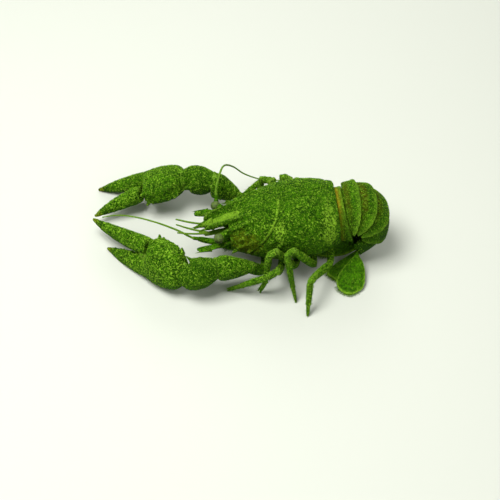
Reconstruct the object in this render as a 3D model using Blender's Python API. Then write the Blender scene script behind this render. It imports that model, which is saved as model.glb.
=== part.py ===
"""Spiny-cheek crayfish resting with its tail curled under, a still model at life size.

The animal faces -X, its left side is towards -Y and the ground is z = 0. All sizes are
in millimetres, and only MM turns them into metres. A place on the shield is given as
(forward, across, high): how far in front of the shield's rear edge, how far to the right
of the middle, and how high over the shield's own base line.
"""

import math
import random

import bmesh
import bpy
from mathutils import Matrix, Vector
from mathutils.geometry import interpolate_bezier

MM = 0.001
GAP = 0.3
HALF_GAP = GAP / 2
MIDDLE = Vector((-6.64, 1.99, 0.0))
LEFT, RIGHT = -1, 1
SIDE_NAMES = {LEFT: "left", RIGHT: "right"}
UP = Vector((0, 0, 1))
FORWARD = Vector((-1, 0, 0))

# The shield of head and thorax
SHIELD_LENGTH = 42.0
FACE = 31.0
REAR_EDGE = Vector((22.0, 0.0, 5.2))
HEAD_DOWN = math.radians(8)
SHIELD_WIDTH = ((0, 9.4), (3, 10.4), (9, 11.3), (16, 11.1), (22, 9.7), (27, 7.9), (31, 6.4))
SHIELD_TOP = ((0, 19.0), (4, 20.4), (10, 21.2), (17, 21.0), (23, 19.6), (28, 17.6), (31, 16.4))
SHIELD_MARGIN = ((0, 5.6), (3, 3.9), (8, 2.9), (16, 2.7), (22, 3.3), (27, 4.6), (31, 6.2))
SHIELD_STATIONS = (0, 0.7, 1.5, 4, 8, 12, 16, 19, 22, 25, 28, 31)
REAR_BEAD = {0: 0.965, 0.7: 0.99, 1.5: 0.975}
WIDEST = 0.42
BACK_ROUNDNESS = 2.3
FLANK_ROUNDNESS = 3.4
SHIELD_SIDES = 24
GROOVE_AT = 15.5
GROOVE_SLOPE = 0.75
GROOVE_CHAMFER = 0.55
CHANNEL_TOP = 7.5
CHANNEL_WIDTHS = ((-3, 5.5), (14, 5.5), (24, 4.6), (33, 3.2))
CHANNEL_FLARE = 2.1

# The breast plate: forward, half width, height of its keel; then the levels of its sides
BREAST = ((0.8, 2.6, 4.2), (3, 3.5, 3.2), (12, 3.5, 3.2), (20, 3.5, 3.2), (23.6, 3.0, 3.2))
BREAST_LEVELS = (7.2, 6.4, 4.6)

# The rostrum: forward, half width, height of its upper face
ROSTRUM = ((25, 3.2, 17.9), (28, 3.7, 17.3), (32, 3.3, 16.2), (36.8, 2.8, 14.5), (38, 1.5, 14.0))
ROSTRUM_DEPTH = 1.7
ROSTRUM_RIM = 0.45
POINT_TIP = (SHIELD_LENGTH, 0, 12.6)
# The ridge behind each eye: forward, across, size
RIDGE = ((21, 4.7, 0.2), (23.5, 5.0, 0.42), (27, 5.1, 0.55), (30.4, 4.9, 0.45))
# Spines on each cheek, in front of the groove and behind it: forward, turn, length
CHEEK_SPINES = (
    (25.4, 58, 2.2), (27.6, 68, 1.9), (24.6, 74, 2.4), (26.6, 84, 2.1), (28.4, 92, 1.7),
    (25.9, 97, 1.6), (29.6, 46, 1.9), (30.0, 112, 1.9),
)
GROOVE_SPINES = ((18.8, 74, 2.2), (17.6, 84, 1.3))

# Abdomen: the curl's centre and radii, and the angle at each seam
CURL = Vector((24.6, 0.0, 12.8))
CURL_LENGTH = 11.9
CURL_HEIGHT = 11.2
SEAMS = (106, 80, 52, 20, -20, -70)
ABDOMEN_WIDTHS = (8.3, 8.9, 8.8, 8.7, 8.4, 8.0)
# The front of the first ring: its height over the curl's centre and the reach of its flaps
FIRST_HEIGHT = 10.3
FIRST_FLAP = -0.6
# Along a ring: part of the way, how far it stands out, how near the centre its flaps reach
RING_STAGES = ((0.0, -0.8, 4.2), (0.22, -0.15, 3.0), (0.6, 0.2, 2.5), (1.0, 0.35, 4.6))
TUNNEL = 6.0
PLEURON_WALL = 1.3

# Tail fan: how far from the curl's centre and from the middle each plate starts, then its
# places (x, across, height) with half width and half thickness
TELSON_START = (9.6, 0.0, 3.7, 1.2)
TELSON = ((24.6, 0, 1.7, 4.3, 0.9), (21.4, 0, 0.75, 4.2, 0.65), (17.4, 0, 0.5, 3.8, 0.5),
          (16.0, 0, 0.45, 2.9, 0.45), (15.4, 0, 0.4, 1.6, 0.35))
INNER_START = (9.5, 5.2, 0.85, 0.7)
INNER_PLATE = ((25.4, 6.4, 1.7, 1.7, 0.55), (23.2, 8.2, 0.6, 2.7, 0.4), (21.2, 10.0, 0.4, 3.0, 0.38),
               (19.9, 11.3, 0.4, 2.7, 0.36), (19.4, 11.8, 0.38, 1.9, 0.34))
OUTER_START = (8.3, 6.6, 0.85, 0.7)
OUTER_PLATE = ((26.8, 8.9, 3.2, 2.4, 0.6), (25.2, 12.0, 1.9, 3.9, 0.45), (23.9, 15.0, 1.0, 4.5, 0.42),
               (23.4, 16.8, 0.6, 3.2, 0.4), (23.2, 18.1, 0.5, 1.0, 0.38))

# Places on the left legs, from the breast plate to the toe
LEGS = {
    "leg_2": ((5.2, 3.8, 7.0), (4.6, 8.2, 3.6), (3.8, 11.2, 4.8), (1.9, 16.6, 10.6),
              (-1.0, 17.8, 9.8), (-8.2, 15.8, 3.8), (-11.7, 14.4, 0.2)),
    "leg_3": ((9.6, 3.8, 7.6), (9.0, 8.2, 4.1), (7.8, 11.4, 6.0), (1.6, 13.3, 15.4),
              (-0.5, 14.6, 15.2), (-1.0, 15.4, 4.2), (-2.4, 15.6, 0.1)),
    "leg_4": ((14.0, 3.8, 8.2), (13.8, 8.0, 5.0), (13.5, 11.4, 6.2), (6.6, 13.5, 15.6),
              (4.6, 14.8, 15.2), (6.7, 17.8, 4.2), (7.6, 19.8, 0.1)),
    "leg_5": ((18.4, 3.8, 9.0), (18.8, 7.8, 6.4), (18.4, 10.8, 6.0), (12.4, 18.2, 9.4),
              (10.9, 20.3, 9.4), (10.5, 23.4, 3.0), (10.3, 24.9, 0.1)),
}
PINCER_LEGS = ("leg_2", "leg_3")
# How the right legs stand off from a mirror of the left ones, from the knee on
RIGHT_STEP = {"leg_2": (2.6, 2.2), "leg_3": (1.0, 0.6), "leg_4": (2.0, 0.8), "leg_5": (0.9, -0.7)}

# Places on the claws: hip, ischium end, elbow, wrist, tip of the fixed and of the free finger
CLAWS = {
    LEFT: ((0.6, -3.8, 5.9), (0.2, -8.0, 2.9), (-1.8, -11.4, 4.6), (-5.4, -12.2, 7.8),
           (-15.1, -13.9, 9.9), (-24.4, -14.3, 7.2), (-46.0, 3.6, 0.3), (-49.8, 10.4, 6.0)),
    RIGHT: ((0.6, 3.8, 5.9), (-0.4, 8.0, 2.9), (-2.8, 12.0, 4.4), (-6.8, 15.8, 7.8),
            (-13.7, 18.4, 10.6), (-22.0, 22.0, 10.0), (-48.5, 27.4, 0.3), (-49.4, 13.4, 3.8)),
}
# The palm and its fixed finger: along, offset towards the free finger, half width, half depth
PALM = ((0.0, 1.0, 3.3, 3.0), (1.4, 1.0, 5.6, 3.9), (4.6, 1.65, 7.05, 4.5), (8.6, 1.95, 7.35, 4.4),
        (11.2, 1.9, 6.7, 3.9), (12.5, -0.8, 3.3, 3.0), (16.5, -0.9, 3.1, 2.6),
        (21.5, -0.7, 2.4, 2.0), (25.5, -0.3, 1.4, 1.2), (1.0, 0.0, 0.3, 0.3))
PALM_END = 12.5
HINGE_OFFSET = 5.6
FINGER_BOW = 1.0

# Eyes: place on the face and middle of the ball, both as (forward, across, high)
EYE_ROOT = (3.9, 13.2)
EYE_MIDDLE = (34.2, 6.2, 13.7)
EYE_RADIUS = 1.45
EYE_SEAT = 0.75

# Big feelers: root on the face (across, high), the places of the base's joints, and of the whip
FEELER_ROOT = (3.4, 8.4)
FEELER_JOINTS = {
    LEFT: ((-13.6, -3.9, 9.6), (-16.8, -3.5, 10.0), (-19.6, -2.8, 10.3)),
    RIGHT: ((-12.4, 4.6, 8.3), (-13.4, 8.5, 9.3), (-13.4, 10.6, 12.4)),
}
FEELER_WHIPS = {
    LEFT: ((-25.4, 0.0, 11.2), (-31.0, 1.4, 13.2), (-36.6, 3.4, 13.6), (-42.0, 6.4, 11.6),
           (-47.0, 8.6, 8.6)),
    RIGHT: ((-13.0, 13.4, 15.6), (-11.8, 17.0, 16.8), (-10.2, 20.8, 15.8), (-7.2, 24.2, 11.6),
            (-3.2, 26.4, 5.8), (3.0, 27.4, 1.8), (10.0, 28.0, 0.6), (17.0, 27.4, 0.5)),
}
FEELER_THICK = 0.5
FEELER_THIN = 0.27

# The scale beside a feeler, the small feeler's joints and the mouth limb, each on its left:
# forward, across, high, half width, half depth
SCALE = ((31.3, 5.4, 10.2, 0.6, 0.5), (34.5, 6.3, 10.5, 1.1, 0.42), (38.0, 6.8, 10.8, 1.3, 0.38),
         (40.2, 6.8, 10.8, 1.0, 0.32), (41.0, 6.7, 10.8, 0.5, 0.28))
SCALE_CORNER = (37.6, 7.7, 10.8)
SCALE_TIP = (42.0, 8.0, 10.9)
SMALL_FEELER = ((31.3, 1.4, 11.4, 0.85, 0.85), (34, 1.5, 11.3, 0.9, 0.85), (38.5, 1.6, 10.9, 0.6, 0.6))
SMALL_WHIPS = ((5.4, -0.7), (3.6, 0.9))
MOUTH_LIMB = ((24.4, 2.1, 4.7, 1.3, 1.2), (27.5, 2.2, 4.2, 1.35, 1.25), (31.5, 2.3, 4.4, 1.1, 1.0),
              (34.5, 2.2, 6.0, 0.9, 0.8), (36.2, 1.9, 8.0, 0.4, 0.4))

HORN = (0.20, 0.23, 0.06, 1)
OLIVE = (0.13, 0.15, 0.045, 1)
RUST = (0.19, 0.075, 0.03, 1)
PALE = (0.34, 0.31, 0.16, 1)
EYE_BLACK = (0.012, 0.012, 0.01, 1)


def clear_scene():
    for old in list(bpy.data.objects):
        bpy.data.objects.remove(old)


def material(name, colour, roughness):
    """A shell finish, kept once under its name."""
    made = bpy.data.materials.get(name)
    if made:
        return made
    made = bpy.data.materials.new(name)
    made.use_nodes = True
    shader = made.node_tree.nodes["Principled BSDF"]
    shader.inputs["Base Color"].default_value = colour
    shader.inputs["Roughness"].default_value = roughness
    shader.inputs["Metallic"].default_value = 0.0
    made.diffuse_color = colour
    return made


def collection(name):
    made = bpy.data.collections.get(name)
    if not made:
        made = bpy.data.collections.new(name)
        bpy.context.scene.collection.children.link(made)
    return made


def smooth(profile, at):
    """The value of a profile of (place, value) pairs at a place, on a smooth curve through them."""
    places = [pair[0] for pair in profile]
    values = [pair[1] for pair in profile]
    last = len(profile) - 1
    i = max(0, min(last - 1, sum(place <= at for place in places) - 1))
    span = places[i + 1] - places[i]
    t = (at - places[i]) / span

    def slope(k):
        low, high = max(k - 1, 0), min(k + 1, last)
        return (values[high] - values[low]) / (places[high] - places[low]) * span

    return (
        values[i] * (2 * t**3 - 3 * t**2 + 1)
        + slope(i) * (t**3 - 2 * t**2 + t)
        + values[i + 1] * (3 * t**2 - 2 * t**3)
        + slope(i + 1) * (t**3 - t**2)
    )


def sign_power(value, power):
    return math.copysign(abs(value) ** power, value)


def on_body(forward, across, high):
    """A place of the shield's own frame, out in the world."""
    turn = Matrix.Rotation(-HEAD_DOWN, 4, "Y")
    return REAR_EDGE + turn @ Vector((-forward, across, high))


def loft(rings):
    """A closed body through rings with the same number of points."""
    bm = bmesh.new()
    rows = [[bm.verts.new(point) for point in ring] for ring in rings]
    count = len(rows[0])
    for row, ahead in zip(rows, rows[1:]):
        for i in range(count):
            j = (i + 1) % count
            bm.faces.new((row[i], row[j], ahead[j], ahead[i]))
    bm.faces.new(reversed(rows[0]))
    bm.faces.new(rows[-1])
    bmesh.ops.recalc_face_normals(bm, faces=bm.faces)
    return bm


def place_object(name, bm, group):
    """Turns a mesh in millimetres into an object in metres, centred over the floor's middle."""
    for vert in bm.verts:
        vert.co = (vert.co - MIDDLE) * MM
    mesh = bpy.data.meshes.new(name)
    bm.to_mesh(mesh)
    bm.free()
    made = bpy.data.objects.new(name, mesh)
    collection(group).objects.link(made)
    return made


def finish(made, finish_name, colour, roughness):
    made.data.materials.clear()
    made.data.materials.append(material(finish_name, colour, roughness))
    made.data.shade_smooth()
    made.data.set_sharp_from_angle(angle=math.radians(38))
    return made


def bake_modifiers(made):
    """Keeps what the modifiers make, as the object's own mesh."""
    graph = bpy.context.evaluated_depsgraph_get()
    mesh = bpy.data.meshes.new_from_object(made.evaluated_get(graph))
    made.modifiers.clear()
    old = made.data
    made.data = mesh
    mesh.name = made.name
    bpy.data.meshes.remove(old)


def islands(bm):
    """The groups of faces that hang together."""
    left = set(bm.faces)
    while left:
        group = {left.pop()}
        to_visit = list(group)
        while to_visit:
            face = to_visit.pop()
            near = {other for edge in face.edges for other in edge.link_faces} & left
            left -= near
            group |= near
            to_visit.extend(near)
        yield group


def volume(faces):
    total = 0.0
    for face in faces:
        first = face.verts[0].co
        for a, b in zip(face.verts[1:], face.verts[2:]):
            total += first.dot(a.co.cross(b.co))
    return abs(total)


def keep_largest(made):
    """Leaves only the largest closed surface of a joined or cut body."""
    bm = bmesh.new()
    bm.from_mesh(made.data)
    groups = sorted(islands(bm), key=volume)
    loose = [face for group in groups[:-1] for face in group]
    bmesh.ops.delete(bm, geom=loose, context="FACES")
    bm.to_mesh(made.data)
    bm.free()


def boolean(made, operation, bodies):
    """Joins closed bodies to an object, or cuts them from it."""
    helpers = collection("cutters")
    pieces = bpy.data.collections.new("pieces of " + made.name)
    helpers.children.link(pieces)
    for i, bm in enumerate(bodies):
        piece = place_object(f"{made.name} piece {i}", bm, "cutters")
        helpers.objects.unlink(piece)
        pieces.objects.link(piece)
        piece.hide_render = True
        piece.display_type = "WIRE"
    step = made.modifiers.new(operation.lower(), "BOOLEAN")
    step.operation = operation
    step.operand_type = "COLLECTION"
    step.collection = pieces
    step.solver = "EXACT"
    bpy.context.view_layer.update()
    bake_modifiers(made)
    for piece in list(pieces.objects):
        bpy.data.objects.remove(piece)
    bpy.data.collections.remove(pieces)
    keep_largest(made)


def spine(base, direction, length, radius, sides=6, tip=0.0):
    """A pointed cone whose root is sunk a little below the base."""
    way = direction.normalized()
    bm = bmesh.new()
    bmesh.ops.create_cone(
        bm, cap_ends=True, segments=sides, radius1=radius, radius2=tip, depth=length
    )
    turn = UP.rotation_difference(way).to_matrix().to_4x4()
    shift = Matrix.Translation(base + way * (length / 2 - radius * 0.6))
    bmesh.ops.transform(bm, matrix=shift @ turn, verts=bm.verts)
    return bm


def shield_point(forward, turn, swell=1.0):
    """A point of the shield's surface: turn is 0 on the midline of the back and 180 below."""
    half = smooth(SHIELD_WIDTH, forward) * swell
    top = smooth(SHIELD_TOP, forward)
    margin = smooth(SHIELD_MARGIN, forward)
    level = margin + WIDEST * (top - margin)
    side, rise = math.sin(math.radians(turn)), math.cos(math.radians(turn))
    power = 2 / (BACK_ROUNDNESS if rise > 0 else FLANK_ROUNDNESS)
    reach = (top - level) * swell if rise > 0 else level - margin
    across = half * sign_power(side, power)
    return Vector((forward, across, level + reach * sign_power(rise, power)))


def on_shield(forward, turn):
    """A place on the shield's surface in the world, and the way out from it."""
    here = shield_point(forward, turn)
    along = shield_point(forward + 0.2, turn) - here
    round_it = shield_point(forward, turn + 2) - here
    out = along.cross(round_it)
    if out.dot(here - Vector((forward, 0, 11))) < 0:
        out.negate()
    start = on_body(*here)
    return start, (on_body(*(here + out.normalized())) - start).normalized()


def shield_half(in_front):
    """The shield before or behind the groove across its back and down its cheeks."""
    rings = []
    for forward in SHIELD_STATIONS:
        swell = REAR_BEAD.get(forward, 1.0)
        turns = [360 * k / SHIELD_SIDES for k in range(SHIELD_SIDES)]
        rings.append([shield_point(forward, turn, swell) for turn in turns])
    bm = loft(rings)
    across_groove = Vector((1, 0, GROOVE_SLOPE)).normalized()
    on_groove = Vector((GROOVE_AT, 0, smooth(SHIELD_TOP, GROOVE_AT)))
    shift = HALF_GAP if in_front else -HALF_GAP
    cut = bmesh.ops.bisect_plane(
        bm,
        geom=bm.verts[:] + bm.edges[:] + bm.faces[:],
        plane_co=on_groove + across_groove * shift,
        plane_no=across_groove,
        clear_inner=in_front,
        clear_outer=not in_front,
    )
    rim = [part for part in cut["geom_cut"] if isinstance(part, bmesh.types.BMEdge)]
    bmesh.ops.edgeloop_fill(bm, edges=rim)
    bmesh.ops.bevel(
        bm, geom=rim, offset=GROOVE_CHAMFER, segments=1, affect="EDGES", clamp_overlap=True
    )
    for vert in bm.verts:
        vert.co = on_body(*vert.co)
    bmesh.ops.recalc_face_normals(bm, faces=bm.faces)
    return bm


def channel():
    """The hollow under the shield where the breast plate and the roots of the legs lie."""
    rings = []
    for forward, half in CHANNEL_WIDTHS:
        foot = half * CHANNEL_FLARE
        corners = ((-foot, -4), (foot, -4), (half, CHANNEL_TOP), (-half, CHANNEL_TOP))
        rings.append([on_body(forward, across, high) for across, high in corners])
    return loft(rings)


def rostrum():
    """The beak: a trough between raised rims."""
    rings = []
    for forward, half, high in ROSTRUM:
        outline = (
            (-1, -0.2), (-0.55, -ROSTRUM_DEPTH), (0.55, -ROSTRUM_DEPTH), (1, -0.2),
            (0.96, ROSTRUM_RIM), (0.74, ROSTRUM_RIM), (0.5, -0.15),
            (-0.5, -0.15), (-0.74, ROSTRUM_RIM), (-0.96, ROSTRUM_RIM),
        )
        rings.append([on_body(forward, half * across, high + rise) for across, rise in outline])
    return loft(rings)


def rostrum_spines():
    tip = on_body(*POINT_TIP)
    start = on_body(36.9, 0, 13.7)
    yield spine(start, tip - start, (tip - start).length + 0.5, 1.35, sides=8)
    for side in (LEFT, RIGHT):
        base = on_body(36.2, side * 2.5, 14.5)
        yield spine(base, on_body(39.8, side * 3.0, 14.2) - base, 3.2, 0.65)


def ridge(side):
    """The ridge behind an eye, which ends in a spine."""
    rings = []
    for forward, across, size in RIDGE:
        turn = math.degrees(math.asin(across / smooth(SHIELD_WIDTH, forward)))
        middle, out = on_shield(forward, side * turn)
        rings.append(ring(middle + out * size * 0.25, FORWARD, UP, size, size, 6))
    return loft(rings)


def cheek_spines():
    """Spines in front of the groove on each cheek, one behind it, and those beside the eye."""
    draw = random.Random(7)
    for side in (LEFT, RIGHT):
        for forward, turn, length in CHEEK_SPINES:
            base, out = on_shield(forward, side * (turn + draw.uniform(-3, 3)))
            way = out * 0.9 + FORWARD * 0.75
            yield spine(base, way, length * draw.uniform(0.9, 1.15) + 0.4, 0.55)


def cervical_spines():
    for side in (LEFT, RIGHT):
        for forward, turn, length in GROOVE_SPINES:
            base, out = on_shield(forward, side * turn)
            yield spine(base, out * 0.8 + FORWARD, length, 0.55)


def head_and_thorax():
    head = place_object("head_shield", shield_half(True), "spiny-cheek crayfish")
    ridges = [ridge(side) for side in (LEFT, RIGHT)]
    boolean(head, "UNION", [rostrum(), *rostrum_spines(), *ridges, *cheek_spines()])
    boolean(head, "DIFFERENCE", [channel()])
    finish(head, "shell, head", OLIVE, 0.5)
    thorax = place_object("thorax_shield", shield_half(False), "spiny-cheek crayfish")
    boolean(thorax, "UNION", list(cervical_spines()))
    boolean(thorax, "DIFFERENCE", [channel()])
    finish(thorax, "shell, thorax", OLIVE, 0.5)


def breast_plate():
    """The plate between the roots of the legs."""
    rings = []
    for forward, half, keel in BREAST:
        top, shoulder, foot = BREAST_LEVELS
        outline = (
            (-half, shoulder), (-half, foot), (-half * 0.45, keel), (half * 0.45, keel),
            (half, foot), (half, shoulder), (half * 0.8, top), (-half * 0.8, top),
        )
        rings.append([on_body(forward, across, high) for across, high in outline])
    plate = place_object("sternum", loft(rings), "spiny-cheek crayfish")
    finish(plate, "shell, underside", PALE, 0.55)


def ring(middle, along, across, half_width, half_height, sides, squareness=2.2):
    """A rounded ring square to a direction; its width lies as near to across as it can."""
    along = along.normalized()
    high = along.cross(across).normalized()
    wide = high.cross(along)
    points = []
    for k in range(sides):
        angle = 2 * math.pi * (k + 0.5) / sides
        x = half_width * sign_power(math.cos(angle), 2 / squareness)
        y = half_height * sign_power(math.sin(angle), 2 / squareness)
        points.append(middle + wide * x + high * y)
    return points


def limb(stations, across, sides=8, starts=None, ends=None):
    """Lofts for the pieces of a jointed limb.

    A station is (piece, place, half width, half height). Where the piece changes, two
    stations share a place, and their rings stand a gap apart. starts and ends are the ways
    that the first and the last ring face, and across holds the way of each piece's width.
    """
    places = []
    for station in stations:
        if not places or station[1] != places[-1]:
            places.append(station[1])
    ways = [(b - a).normalized() for a, b in zip(places, places[1:])]
    facing = [starts or ways[0]]
    facing += [(a + b).normalized() for a, b in zip(ways, ways[1:])]
    facing.append(ends or ways[-1])
    rings = {}
    spot = 0
    for i, (piece, place, wide, high) in enumerate(stations):
        if i and place != stations[i - 1][1]:
            spot += 1
        along = facing[spot]
        shift = 0.0
        if i and piece != stations[i - 1][0]:
            shift = HALF_GAP
        if i + 1 < len(stations) and piece != stations[i + 1][0]:
            shift = -HALF_GAP
        here = ring(place + along * shift, along, across[piece], wide, high, sides)
        rings.setdefault(piece, []).append(here)
    return {piece: loft(rows) for piece, rows in rings.items()}


def flatten_on_floor(bm):
    """Presses what would reach below the ground flat onto it."""
    for vert in bm.verts:
        vert.co.z = max(vert.co.z, 0.0)


def between(a, b, part):
    return a + (b - a) * part


def walking_leg(name, side):
    """A leg in two pieces: from the breast plate to the knee, and from the knee to the toe."""
    spots = []
    for i, (x, y, z) in enumerate(LEGS[name]):
        spot = Vector((x, side * y, z))
        if side == RIGHT and i > 2:
            spot += Vector((*RIGHT_STEP[name], 0))
        spots.append(spot)
    root, under, hip, knee, shin, ankle, toe = spots
    carpus = between(knee, shin, 0.5)
    hand = between(shin, ankle, 0.12)
    stations = [
        ("upper", root, 1.15, 1.15), ("upper", under, 1.1, 1.1), ("upper", hip, 1.0, 1.05),
        ("upper", between(hip, knee, 0.2), 1.0, 1.35), ("upper", between(hip, knee, 0.7), 1.0, 1.4),
        ("upper", knee, 0.95, 1.0),
        ("lower", knee, 0.95, 1.0), ("lower", carpus, 1.12, 1.2), ("lower", shin, 0.92, 0.98),
        ("lower", hand, 0.98, 1.08), ("lower", between(shin, ankle, 0.6), 0.9, 1.0),
        ("lower", ankle, 0.66, 0.7), ("lower", between(ankle, toe, 0.5), 0.48, 0.5),
        ("lower", toe, 0.26, 0.26),
    ]
    ways = {"upper": FORWARD, "lower": FORWARD}
    made = limb(stations, ways, starts=Vector((0, side, 0)))
    fingers = []
    if name in PINCER_LEGS:
        way = toe - ankle
        aside = way.cross(Vector((0, side, 0))).normalized()
        base = ankle + aside * 0.35
        fingers.append(spine(base, toe + aside * 0.85 + UP * 0.25 - base, way.length * 0.94, 0.5, 6, 0.2))
    for piece, bm in made.items():
        label = f"{name}_{SIDE_NAMES[side]}_{piece}"
        flatten_on_floor(bm)
        leg = place_object(label, bm, "spiny-cheek crayfish")
        if piece == "lower" and fingers:
            boolean(leg, "UNION", fingers)
        finish(leg, "shell, legs", HORN, 0.5)


def finger_bend(root, tip, bow, count):
    """Places on a curved finger, which bows out to one side between its root and tip."""
    reach = tip - root
    start = root + reach * 0.3 + bow
    end = root + reach * 0.78 + bow * 1.15
    return interpolate_bezier(root, start, end, tip, count)


def claw_arm(side):
    """Hip, arm and wrist of a claw, as far as the palm."""
    hip, under, rise, ischium, elbow, wrist = [Vector(spot) for spot in CLAWS[side][:6]]
    along, inner, _ = claw_axes(side)
    stations = [
        ("base", hip, 1.7, 1.7), ("base", under, 1.7, 1.6), ("base", rise, 1.7, 1.7),
        ("base", ischium, 1.9, 1.6),
        ("arm", ischium, 1.9, 1.8), ("arm", between(ischium, elbow, 0.25), 2.5, 2.8),
        ("arm", between(ischium, elbow, 0.8), 3.6, 4.3), ("arm", elbow, 3.0, 3.3),
        ("wrist", elbow, 2.9, 3.2), ("wrist", between(elbow, wrist, 0.25), 4.0, 4.1),
        ("wrist", between(elbow, wrist, 0.56), 4.8, 4.4),
        ("wrist", between(elbow, wrist, 0.8) - inner * 0.7, 4.1, 3.8),
        ("wrist", wrist + inner, 3.1, 2.8),
    ]
    aside = Vector((0, side, 0))
    ways = {"base": UP, "arm": aside, "wrist": inner}
    made = limb(stations, ways, sides=12, starts=aside, ends=along)
    spikes = {"base": [], "arm": list(arm_spines(ischium, elbow, side)),
              "wrist": list(wrist_spines(elbow, wrist, inner))}
    for piece, bm in made.items():
        flatten_on_floor(bm)
        part = place_object(f"claw_{piece}_{SIDE_NAMES[side]}", bm, "spiny-cheek crayfish")
        if spikes[piece]:
            boolean(part, "UNION", spikes[piece])
        finish(part, "shell, claws", HORN, 0.5)


def arm_spines(ischium, elbow, side):
    """Two spines near the arm's far end on top, and a row of them along its lower inner edge."""
    inward = Vector((0, -side, 0))
    way = (elbow - ischium).normalized()
    for part, lean in ((0.74, 0.25), (0.82, -0.3)):
        base = between(ischium, elbow, part) + UP * 3.3 + inward * (lean * 4)
        yield spine(base, way + UP * 0.8 + inward * lean, 2.2, 0.7)
    for part in (0.35, 0.55, 0.75, 0.9):
        base = between(ischium, elbow, part) - UP * 1.9 + inward * 2.0
        yield spine(base, way - UP * 0.5 + inward * 0.7, 1.9, 0.6)


def wrist_spines(elbow, wrist, inner):
    """The strong spur on the inner side and two lesser spines beside it."""
    way = (wrist - elbow).normalized()
    for part, offset, length, radius in ((0.72, 4.1, 3.6, 1.0), (0.42, 4.0, 1.8, 0.65)):
        base = between(elbow, wrist, part) + inner * offset
        yield spine(base, inner * 0.9 + way * 0.8, length, radius)
    below = way.cross(inner).normalized()
    if below.z > 0:
        below.negate()
    yield spine(between(elbow, wrist, 0.6) + below * 3.5, way + below * 0.9, 1.9, 0.7)


def claw_axes(side):
    """Along the palm, towards the free finger, and up out of the palm."""
    wrist, tip, free_tip = [Vector(spot) for spot in CLAWS[side][5:]]
    along = (tip - wrist).normalized()
    reach = free_tip - wrist
    inner = (reach - along * reach.dot(along)).normalized()
    upper = along.cross(inner)
    if upper.z < 0:
        upper.negate()
    return along, inner, upper


def palm(side):
    wrist, tip = [Vector(spot) for spot in CLAWS[side][5:7]]
    along, inner, upper = claw_axes(side)
    length = (tip - wrist).length
    rings = []
    for at, offset, half, depth in PALM:
        spot = length if at == 1.0 else at
        shift = HALF_GAP if at == 0 else 0
        middle = wrist + along * (spot + shift) + inner * offset
        rings.append(ring(middle, along, inner, half, depth, 12, 2.3))
    bm = loft(rings)
    flatten_on_floor(bm)
    hand = place_object(f"claw_palm_{SIDE_NAMES[side]}", bm, "spiny-cheek crayfish")
    knobs = []
    for row in (-1, 1):
        for k in range(6):
            at = 2.2 + 1.65 * k + 0.4 * row
            base = wrist + along * at + inner * (6.6 + 0.32 * k) + upper * (row * 1.5)
            knobs.append(spine(base, inner + along * 0.5 + upper * (row * 0.3), 1.9, 0.8, 6, 0.3))
    boolean(hand, "UNION", knobs)
    finish(hand, "shell, claws", HORN, 0.5)


def free_finger(side):
    wrist, _, free_tip = [Vector(spot) for spot in CLAWS[side][5:]]
    along, inner, _ = claw_axes(side)
    root = wrist + along * (PALM_END + GAP + 0.1) + inner * HINGE_OFFSET
    places = finger_bend(root, free_tip, inner * -FINGER_BOW, 9)
    sizes = ((2.5, 2.4), (2.8, 2.5), (2.75, 2.4), (2.55, 2.2), (2.25, 2.0), (1.85, 1.7),
             (1.4, 1.3), (0.85, 0.85), (0.28, 0.28))
    stations = [("finger", spot, wide, deep) for spot, (wide, deep) in zip(places, sizes)]
    bm = limb(stations, {"finger": inner}, sides=10, starts=along)["finger"]
    flatten_on_floor(bm)
    finger = place_object(f"claw_finger_{SIDE_NAMES[side]}", bm, "spiny-cheek crayfish")
    finish(finger, "shell, claws", HORN, 0.5)


def curl_radius(angle):
    """How far the curl's outer face lies from its centre."""
    side, rise = math.cos(math.radians(angle)), math.sin(math.radians(angle))
    return 1 / math.hypot(side / CURL_LENGTH, rise / CURL_HEIGHT)


def tail_ring(centre, out, back, half, radius, inner):
    """A cut through the abdomen: an arch with a flap hanging on each side."""
    points = []
    count = 14
    for k in range(count + 1):
        turn = math.pi * (k / count - 0.5)
        across = half * sign_power(math.sin(turn), 0.9)
        reach = inner + (radius - inner) * max(math.cos(turn), 0.0) ** 0.8
        points.append(centre + out * reach + Vector((0, across, 0)))
    wall = half - PLEURON_WALL
    roof = wall * 0.9
    underside = ((wall, inner + 0.1), (roof, TUNNEL), (-roof, TUNNEL), (-wall, inner + 0.1))
    for across, reach in underside:
        points.append(centre + out * reach + Vector((0, across, 0)))
    return [point + back for point in points]


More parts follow.
